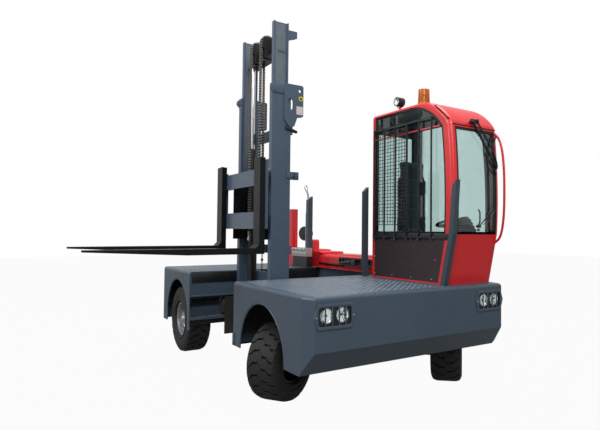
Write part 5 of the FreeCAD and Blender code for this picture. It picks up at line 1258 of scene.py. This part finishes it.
# ---------------------------------------------------------------------------
# Cab glass.  Green-tinted toughened panes, each held in a black rubber seal
# that laps over its edge on the outside.
# ---------------------------------------------------------------------------
cab_glass = clear_pane("green_tinted_glass", "D3E3E1", rough=0.01)
paint_nodes(cab_glass, "cab_windows", "door_glass")
seal_rubber = sprayed_paint("seal_rubber", "101214", gloss=0.55, drift=0.15)


def seals(node, name, lap, body):
    """Rubber seals that follow the outer face of each pane of a CAD node."""
    source = frame["nodes"][node]
    twin = source.copy()
    twin.data = source.data.copy()
    twin.parent = None
    twin.matrix_world = Matrix.Identity(4)
    bpy.context.collection.objects.link(twin)
    only(twin)
    for key in list(twin.keys()):
        del twin[key]
    edit()
    bpy.ops.mesh.remove_doubles(threshold=0.0001)
    bpy.ops.mesh.separate(type="LOOSE")
    leave_edit()
    panes = list(bpy.context.selected_objects)
    inside = (frame_low + frame_high) / 2
    for pane in panes:
        middle = sum((v.co for v in pane.data.vertices), Vector()) / len(pane.data.vertices)
        sizes = [max(v.co[k] for v in pane.data.vertices)
                 - min(v.co[k] for v in pane.data.vertices) for k in (0, 1)]
        axis = 0 if sizes[0] < sizes[1] else 1
        way = 1 if middle[axis] > inside[axis] else -1
        only(pane)
        bpy.ops.object.mode_set(mode="EDIT")
        bpy.ops.mesh.select_mode(type="FACE")
        bpy.ops.mesh.select_all(action="DESELECT")
        leave_edit()
        for face in pane.data.polygons:
            face.select = face.normal[axis] * way < 0.6
        bpy.ops.object.mode_set(mode="EDIT")
        bpy.ops.mesh.delete(type="FACE")
        bpy.ops.mesh.select_all(action="SELECT")
        bpy.ops.mesh.dissolve_limited(angle_limit=math.radians(0.6))
        bpy.ops.mesh.select_all(action="SELECT")
        bpy.ops.mesh.inset(thickness=lap, use_boundary=True, use_even_offset=True)
        bpy.ops.mesh.delete(type="FACE")
        leave_edit()
        modified(pane, "lap", "SOLIDIFY", thickness=0.008, offset=1.0)
    return shape_up(joined(panes), name, seal_rubber, body)


seals("cab_windows", "cab_window_seals", 0.026, "chassis")
seals("door_glass", "door_glass_seal", 0.026, "door")
sill = slab((0.762, 0.4405, 1.486), (1.985, 0.4462, 1.552), 0.002, 2)
ledge = slab((0.775, 0.4370, 1.500), (1.960, 0.4450, 1.512), 0.002, 2)
shape_up(joined([sill, ledge]), "window_sill_rubber", seal_rubber, "chassis")

# ---------------------------------------------------------------------------
# Cab lining.  Grained black trim covers the inside of the shell and the jambs
# of every opening; it is pressed to the panels and clipped in.
# ---------------------------------------------------------------------------


def moulded_plastic(name, colour, rough=0.55):
    """Injection-moulded plastic with a fine leather-like grain."""
    finish, tree, shader = material(name)
    coords = add(tree, "TexCoord").outputs["Object"]
    cloud = add(tree, "TexNoise", {"Vector": coords, "Scale": 6.0, "Detail": 4.0})
    hue = add(tree, "HueSaturation", {"Color": tone(colour)})
    lift = add(tree, "MapRange", {"Value": cloud.outputs["Fac"], "To Min": 0.85, "To Max": 1.2})
    tree.links.new(result(lift), hue.inputs["Value"])
    tree.links.new(hue.outputs["Color"], shader.inputs["Base Color"])
    spread = add(tree, "MapRange", {"Value": cloud.outputs["Fac"], "To Min": rough - 0.08,
                                    "To Max": rough + 0.08})
    tree.links.new(result(spread), shader.inputs["Roughness"])
    grained(finish, "TexVoronoi", {"Scale": 380.0}, 0.2, 0.0006, output="Distance")
    return finish


black_plastic = moulded_plastic("grained_black_plastic", "141517")
LINING = 0.0012
LINING_GAP = 0.0004
CAB_CORE = on_truck(1.300, 0.765, 1.950)


def lining(names, name, body):
    """Thin black trim over the faces of CAD nodes that look into the cab."""
    sheets = []
    for node in names:
        twin = from_data(name, frame["nodes"][node].data.copy())
        bpy.ops.object.mode_set(mode="EDIT")
        bpy.ops.mesh.select_mode(type="FACE")
        bpy.ops.mesh.select_all(action="SELECT")
        bpy.ops.mesh.remove_doubles(threshold=0.0001)
        bpy.ops.mesh.select_all(action="DESELECT")
        leave_edit()
        for face in twin.data.polygons:
            inward = (CAB_CORE - face.center).normalized().dot(face.normal)
            face.select = inward < 0.12
        bpy.ops.object.mode_set(mode="EDIT")
        bpy.ops.mesh.delete(type="FACE")
        leave_edit()
        for v in twin.data.vertices:
            v.co += v.normal * LINING_GAP
        modified(twin, "trim", "SOLIDIFY", thickness=LINING, offset=1.0)
        sheets.append(twin)
    return shape_up(joined(sheets), name, black_plastic, body)


lining(["cab_frame", "cab_roof", "cab_front_panel"], "cab_lining", "chassis")
lining(["cab_door"], "door_lining", "door")

# ---------------------------------------------------------------------------
# Window guard.  Round bars between hooked brackets, and a welded wire mesh
# tied over the rear half.
# ---------------------------------------------------------------------------
guard_low, guard_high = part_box("window_guard")
MESH_X = (MID_X + 0.865, MID_X + 1.396)
MESH_Z = (1.640, 2.650)
WIRE_R = 0.0034
mesh_y = guard_low.y + 0.0015
wires = []
upright = bar((MESH_X[0], mesh_y, MESH_Z[0]), (MESH_X[0], mesh_y, MESH_Z[1]), WIRE_R, 6)
steps = 11
wires.append(copied(upright, [Vector(((MESH_X[1] - MESH_X[0]) * k / steps, 0, 0))
                              for k in range(steps + 1)]))
level = bar((MESH_X[0], mesh_y + 0.0025, MESH_Z[0]), (MESH_X[1], mesh_y + 0.0025, MESH_Z[0]),
            WIRE_R, 6)
steps = 27
wires.append(copied(level, [Vector((0, 0, (MESH_Z[1] - MESH_Z[0]) * k / steps))
                            for k in range(steps + 1)]))
shape_up(joined(wires), "guard_wire_mesh", black_satin, "chassis")
hooks = []
for k in range(6):
    x = guard_low.x + 0.007 + (guard_high.x - guard_low.x - 0.014) * k / 5
    z = 1.500
    hooks.append(pipe([(x - 0.012, guard_low.y + 0.004, z + 0.030), (x - 0.012, guard_low.y, z),
                       (x, guard_low.y + 0.002, z - 0.028), (x + 0.014, guard_low.y + 0.010, z),
                       (x + 0.014, guard_low.y + 0.022, z + 0.016)], 0.0045, 8))
    hooks.append(bar((x, guard_low.y + 0.004, z + 0.012), (x, guard_low.y + 0.024, z + 0.012),
                     0.010, 6, 0.001))
shape_up(joined(hooks), "guard_hooks", black_satin, "chassis")

# ---------------------------------------------------------------------------
# Wipers.  A long twin-arm wiper hangs from the fascia, and a short one
# sweeps the foot of the windscreen; both are black steel with rubber blades.
# ---------------------------------------------------------------------------
parts = [tube([(2.040, 0.715, 2.640), (2.046, 0.870, 2.430),
               (2.052, 0.985, 2.285), (2.052, 1.035, 2.220)], 0.011, 10),
         tube([(2.040, 0.775, 2.655), (2.046, 0.930, 2.455),
               (2.052, 1.030, 2.320), (2.052, 1.050, 2.230)], 0.009, 10),
         rod((1.990, 0.715, 2.642), (2.052, 0.715, 2.642), 0.016, 16, 0.003),
         rod((1.990, 0.775, 2.657), (2.052, 0.775, 2.657), 0.016, 16, 0.003),
         slab((2.020, 0.690, 2.628), (2.040, 0.800, 2.670), 0.006)]
shape_up(joined(parts), "upper_wiper_arms", black_satin, "chassis")
blade = [tube([(2.048, 1.040, 2.535), (2.050, 0.985, 2.430),
               (2.052, 0.940, 2.290), (2.052, 0.965, 2.205),
               (2.052, 1.040, 2.150)], 0.008, 10)]
blade.append(slab((2.044, 1.030, 2.205), (2.058, 1.056, 2.240), 0.003))
shape_up(joined(blade), "upper_wiper_blade", seal_rubber, "chassis")
low = [tube([(2.052, 0.800, 1.628), (2.058, 0.920, 1.735),
             (2.058, 1.010, 1.820)], 0.0055, 8),
       rod((2.010, 0.800, 1.622), (2.060, 0.800, 1.622), 0.014, 16, 0.003),
       tube([(2.054, 0.850, 1.640), (2.056, 0.960, 1.700),
             (2.056, 1.020, 1.790)], 0.004, 8)]
shape_up(joined(low), "lower_wiper", black_satin, "chassis")

# Rubber joint between fascia and windscreen.
fascia = slab((2.000, 0.470, 2.594), (2.020, 1.060, 2.602), 0.003)
shape_up(fascia, "fascia_strip", seal_rubber, "chassis")

# ---------------------------------------------------------------------------
# Beacon and work lamp.  A ribbed amber dome on a black cup; a round lamp with
# a bright bowl behind clear glass, on a bent bracket.
# ---------------------------------------------------------------------------
RIBBING = {"Scale": 26.0, "Distortion": 0.0}
amber_dome = two_tone("amber_ribbed_lens", "TexWave", RIBBING, ("9A4408", "E88A14"),
                      (0.22, 0.22), bands_direction="Z")
grained(amber_dome, "TexWave", RIBBING, 0.5, 0.0015, bands_direction="Z")
shader = amber_dome.node_tree.nodes["Principled BSDF"]
shader.inputs["Subsurface Weight"].default_value = 0.3
shader.inputs["Subsurface Radius"].default_value = (0.02, 0.008, 0.002)
paint_nodes(amber_dome, "beacon")
beacon_low, beacon_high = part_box("beacon")
beacon_r = (beacon_high.x - beacon_low.x) / 2
centre = Vector(((beacon_low.x + beacon_high.x) / 2, (beacon_low.y + beacon_high.y) / 2, 0))
z = beacon_low.z
cup = spun([(z + 0.001, 0.0), (z + 0.001, beacon_r - 0.002), (z + 0.008, beacon_r),
            (z + 0.024, beacon_r), (z + 0.028, beacon_r - 0.003), (z + 0.028, 0.0)],
           centre, (0, 0, 1), 40)
shape_up(cup, "beacon_cup", black_satin, "chassis")
ribs = []
for k in range(7):
    h = z + 0.040 + k * 0.0145
    r = (beacon_r - 0.002) * (1 - 0.06 * k / 6)
    ribs.append(spun([(h - 0.003, r - 0.003), (h, r), (h + 0.003, r - 0.003)],
                     centre, (0, 0, 1), 36))
shape_up(joined(ribs), "beacon_ribs", amber_dome, "chassis")

paint_nodes(black_satin, "work_lamp")
lamp_low, lamp_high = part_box("work_lamp")
lamp_face = Vector(((lamp_low.x + lamp_high.x) / 2, lamp_low.y - 0.0126, lamp_high.z - 0.050))
bowl = spun([(-0.010, 0.0), (-0.008, 0.014), (-0.002, 0.032), (0.0035, 0.043), (0.0045, 0.0445),
             (0.0005, 0.0445), (-0.012, 0.010), (-0.012, 0.0)], lamp_face, (0, -1, 0), 36)
shape_up(bowl, "work_lamp_bowl", bright_reflector, "chassis")
rim = spun([(-0.012, 0.0495), (0.007, 0.0495), (0.009, 0.047), (0.007, 0.0435),
            (0.0005, 0.0435), (-0.012, 0.0495)], lamp_face, (0, -1, 0), 36)
yoke = [(-0.052, 0.0), (-0.054, -0.040), (-0.030, -0.062), (0.030, -0.062), (0.054, -0.040),
        (0.052, 0.0)]
fork = pipe([lamp_face + Vector((x, 0.048, z)) for x, z in yoke], 0.005, 10)
shape_up(joined([rim, fork]), "work_lamp_rim", black_satin, "chassis")
lens = spun([(0.0085, 0.0), (0.0075, 0.020), (0.005, 0.0425), (0.0035, 0.0425), (0.006, 0.020),
             (0.007, 0.0)], lamp_face, (0, -1, 0), 36)
shape_up(lens, "work_lamp_lens", lens_glass, "chassis")

# Whip aerial on the brow, leaning back over the load side.
aerial = [rod((1.985, 0.508, 2.612), (1.930, 0.317, 2.766), 0.0065, 8),
          rod((1.990, 0.520, 2.600), (1.980, 0.490, 2.628), 0.009, 14, 0.002)]
shape_up(joined(aerial), "whip_aerial", black_satin, "chassis")

# Smooth bent tube of the grab handle, in place of its plain one.
grab_low, grab_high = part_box("grab_handle")
grab_y = (grab_low.y + grab_high.y) / 2
GRAB_BOW = [(-0.158, 0.013), (-0.085, 0.060), (-0.030, 0.190), (-0.004, 0.400), (0.0, 0.640),
            (-0.006, 0.880), (-0.040, 1.060), (-0.095, 1.125), (-0.158, 1.150)]
bow = pipe([(grab_high.x - 0.013 + a, grab_y, grab_high.z - 0.013 - b) for a, b in GRAB_BOW],
           0.0125, 16)
shape_up(bow, "bent_grab_handle", red_enamel, "chassis")
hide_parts("grab_handle")

# ---------------------------------------------------------------------------
# Door.  A bent pull handle with the lock's button below it, on the far side,
# where the driver gets in.
# ---------------------------------------------------------------------------
pull = [tube([(1.760, 1.090, 1.640), (1.760, 1.112, 1.650),
              (1.760, 1.114, 1.720), (1.760, 1.112, 1.790),
              (1.760, 1.090, 1.800)], 0.009, 12),
        rod((1.760, 1.084, 1.590), (1.760, 1.098, 1.590), 0.016, 20, 0.002)]
shape_up(joined(pull), "door_pull", black_satin, "door")

# ---------------------------------------------------------------------------
# Driver's place.  Moulded black plastic console with an arm rest, levers with
# knobs, and the gathered boot of the steering column.
# ---------------------------------------------------------------------------
paint_nodes(black_plastic, "control_console", "seat_pedestal", "steering_column")
console_low, console_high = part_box("control_console")
levers = []
for k in range(4):
    x = console_high.x - 0.06 - 0.060 * k
    y = (console_low.y + console_high.y) / 2
    z = console_high.z
    levers.append(spun([(0.0, 0.018), (0.010, 0.016), (0.014, 0.012), (0.022, 0.013),
                        (0.026, 0.008), (0.028, 0.0045), (0.100, 0.0045), (0.104, 0.013),
                        (0.124, 0.016), (0.138, 0.011), (0.142, 0.0)],
                       (x, y, z - 0.001), (0.06, 0, 1), 20))
shape_up(joined(levers), "control_levers", black_plastic, "chassis")
arm_rest = block((console_low.x + 0.03, console_low.y + 0.004, console_high.z - 0.001),
                 (console_low.x + 0.26, console_high.y - 0.002, console_high.z + 0.028),
                 0.012, 4)
shape_up(arm_rest, "console_arm_rest", black_plastic, "chassis")
column_low, column_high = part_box("steering_column")
column_mid = (column_low + column_high) / 2
# Gathered boot over the steering column.
folds = [(0.0, 0.130)]
for k in range(6):
    folds += [(0.030 + 0.035 * k, 0.128 - 0.010 * k), (0.047 + 0.035 * k, 0.112 - 0.010 * k)]
folds += [(0.245, 0.050), (0.250, 0.0), (0.0, 0.0), (0.0, 0.130)]
boot = spun(folds, (column_high.x - 0.03, column_mid.y + 0.06, column_high.z - 0.235),
            (-0.25, 0, 1), 40)
shape_up(boot, "steering_column_boot", black_plastic, "chassis")

# ---------------------------------------------------------------------------
# Seat.  Foam cushion and back in hard-wearing black cloth, filled and sewn;
# the foam is swollen by simulation, and then channels are drawn in.
# ---------------------------------------------------------------------------
seat_cloth = two_tone("woven_seat_cloth", "TexNoise", {"Scale": 30.0, "Detail": 8.0},
                      ("151618", "303236"), (0.75, 0.95))
tree = seat_cloth.node_tree
shader = tree.nodes["Principled BSDF"]
coords = add(tree, "TexCoord").outputs["Object"]
threads = []
for way in ("X", "Y", "Z"):
    threads.append(add(tree, "TexWave", {"Vector": coords, "Scale": 130.0, "Distortion": 0.4},
                       bands_direction=way).outputs["Fac"])
woven = add(tree, "Math", {0: threads[0], 1: threads[1]}, operation="MAXIMUM").outputs[0]
woven = add(tree, "Math", {0: woven, 1: threads[2]}, operation="MULTIPLY").outputs[0]
shader.inputs["Sheen Weight"].default_value = 0.35
shader.inputs["Sheen Roughness"].default_value = 0.5
bump = add(tree, "Bump", {"Height": woven, "Strength": 0.4, "Distance": 0.0008})
tree.links.new(bump.outputs["Normal"], shader.inputs["Normal"])
VOXEL = 0.006
SWELL = 0.022
FILL_FRAMES = 20


def stuffed(low, high, shrink):
    """A foam block swollen inside its cover; it grows by at most SWELL."""
    low, high = Vector(low) + Vector(shrink), Vector(high) - Vector(shrink)
    pad = block(low, high, 0.018, 3)
    modified(pad, "cover", "REMESH", mode="VOXEL", voxel_size=VOXEL)
    start = [v.co.copy() for v in pad.data.vertices]
    fill = pad.modifiers.new("fill", "CLOTH")
    fill.settings.quality = 5
    fill.settings.mass = 0.3
    fill.settings.use_pressure = True
    fill.settings.uniform_pressure_force = 4.0
    fill.settings.effector_weights.gravity = 0.0
    fill.point_cache.frame_start = 1
    fill.point_cache.frame_end = FILL_FRAMES
    for frame_number in range(1, FILL_FRAMES + 1):
        bpy.context.scene.frame_set(frame_number)
    swollen = pad.evaluated_get(bpy.context.evaluated_depsgraph_get())
    ends = [v.co.copy() for v in swollen.data.vertices]
    pad.modifiers.remove(fill)
    bpy.context.scene.frame_set(1)
    for v, a, b in zip(pad.data.vertices, start, ends):
        step = b - a
        if step.length > SWELL:
            step *= SWELL / step.length
        v.co = a + step
    modified(pad, "fine", "SUBSURF", levels=1, render_levels=1)
    return pad


def drawn_in(pad, axis, side, lines, depth, width):
    """Pull stitched channels into one face of a pad; each line is (axis, place)."""
    middle = sum((v.co[axis] for v in pad.data.vertices)) / len(pad.data.vertices)
    for v in pad.data.vertices:
        if (v.co[axis] - middle) * side <= 0:
            continue
        pull = 0.0
        for line_axis, place in lines:
            off = (v.co[line_axis] - place) / width
            pull = max(pull, math.exp(-off * off))
        v.co[axis] -= side * depth * pull


cushion_low, cushion_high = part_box("seat_cushion")
cushion = stuffed(cushion_low, cushion_high, (0.016, 0.016, 0.013))
span = cushion_high.y - cushion_low.y
drawn_in(cushion, 2, 1, [(1, cushion_low.y + span * 0.20), (1, cushion_high.y - span * 0.20),
                         (0, cushion_low.x + 0.16)], 0.009, 0.010)
for v in cushion.data.vertices:
    for k in range(3):
        v.co[k] = min(max(v.co[k], cushion_low[k] + 0.0005), cushion_high[k] + 0.008 * (k == 2))
shape_up(cushion, "stuffed_seat_cushion", seat_cloth, "chassis")
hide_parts("seat_cushion")
back_low, back_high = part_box("seat_back")
rest = stuffed(back_low, back_high, (0.016, 0.016, 0.016))
tall = back_high.z - back_low.z
span = back_high.y - back_low.y
for v in rest.data.vertices:
    share = (v.co.z - back_low.z) / tall
    if share > 0.74:
        pinch = min(1.0, (share - 0.74) / 0.05) * 0.24
        v.co.y += ((back_low.y + back_high.y) / 2 - v.co.y) * pinch
drawn_in(rest, 0, 1, [(2, back_low.z + tall * k) for k in (0.20, 0.38, 0.56, 0.75)]
         + [(1, back_low.y + span * 0.18), (1, back_high.y - span * 0.18)], 0.009, 0.010)
for v in rest.data.vertices:
    for k in range(3):
        v.co[k] = min(max(v.co[k], back_low[k] + 0.0005), back_high[k] + 0.006 * (k == 0))
shape_up(rest, "stuffed_seat_back", seat_cloth, "chassis")
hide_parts("seat_back")

import json
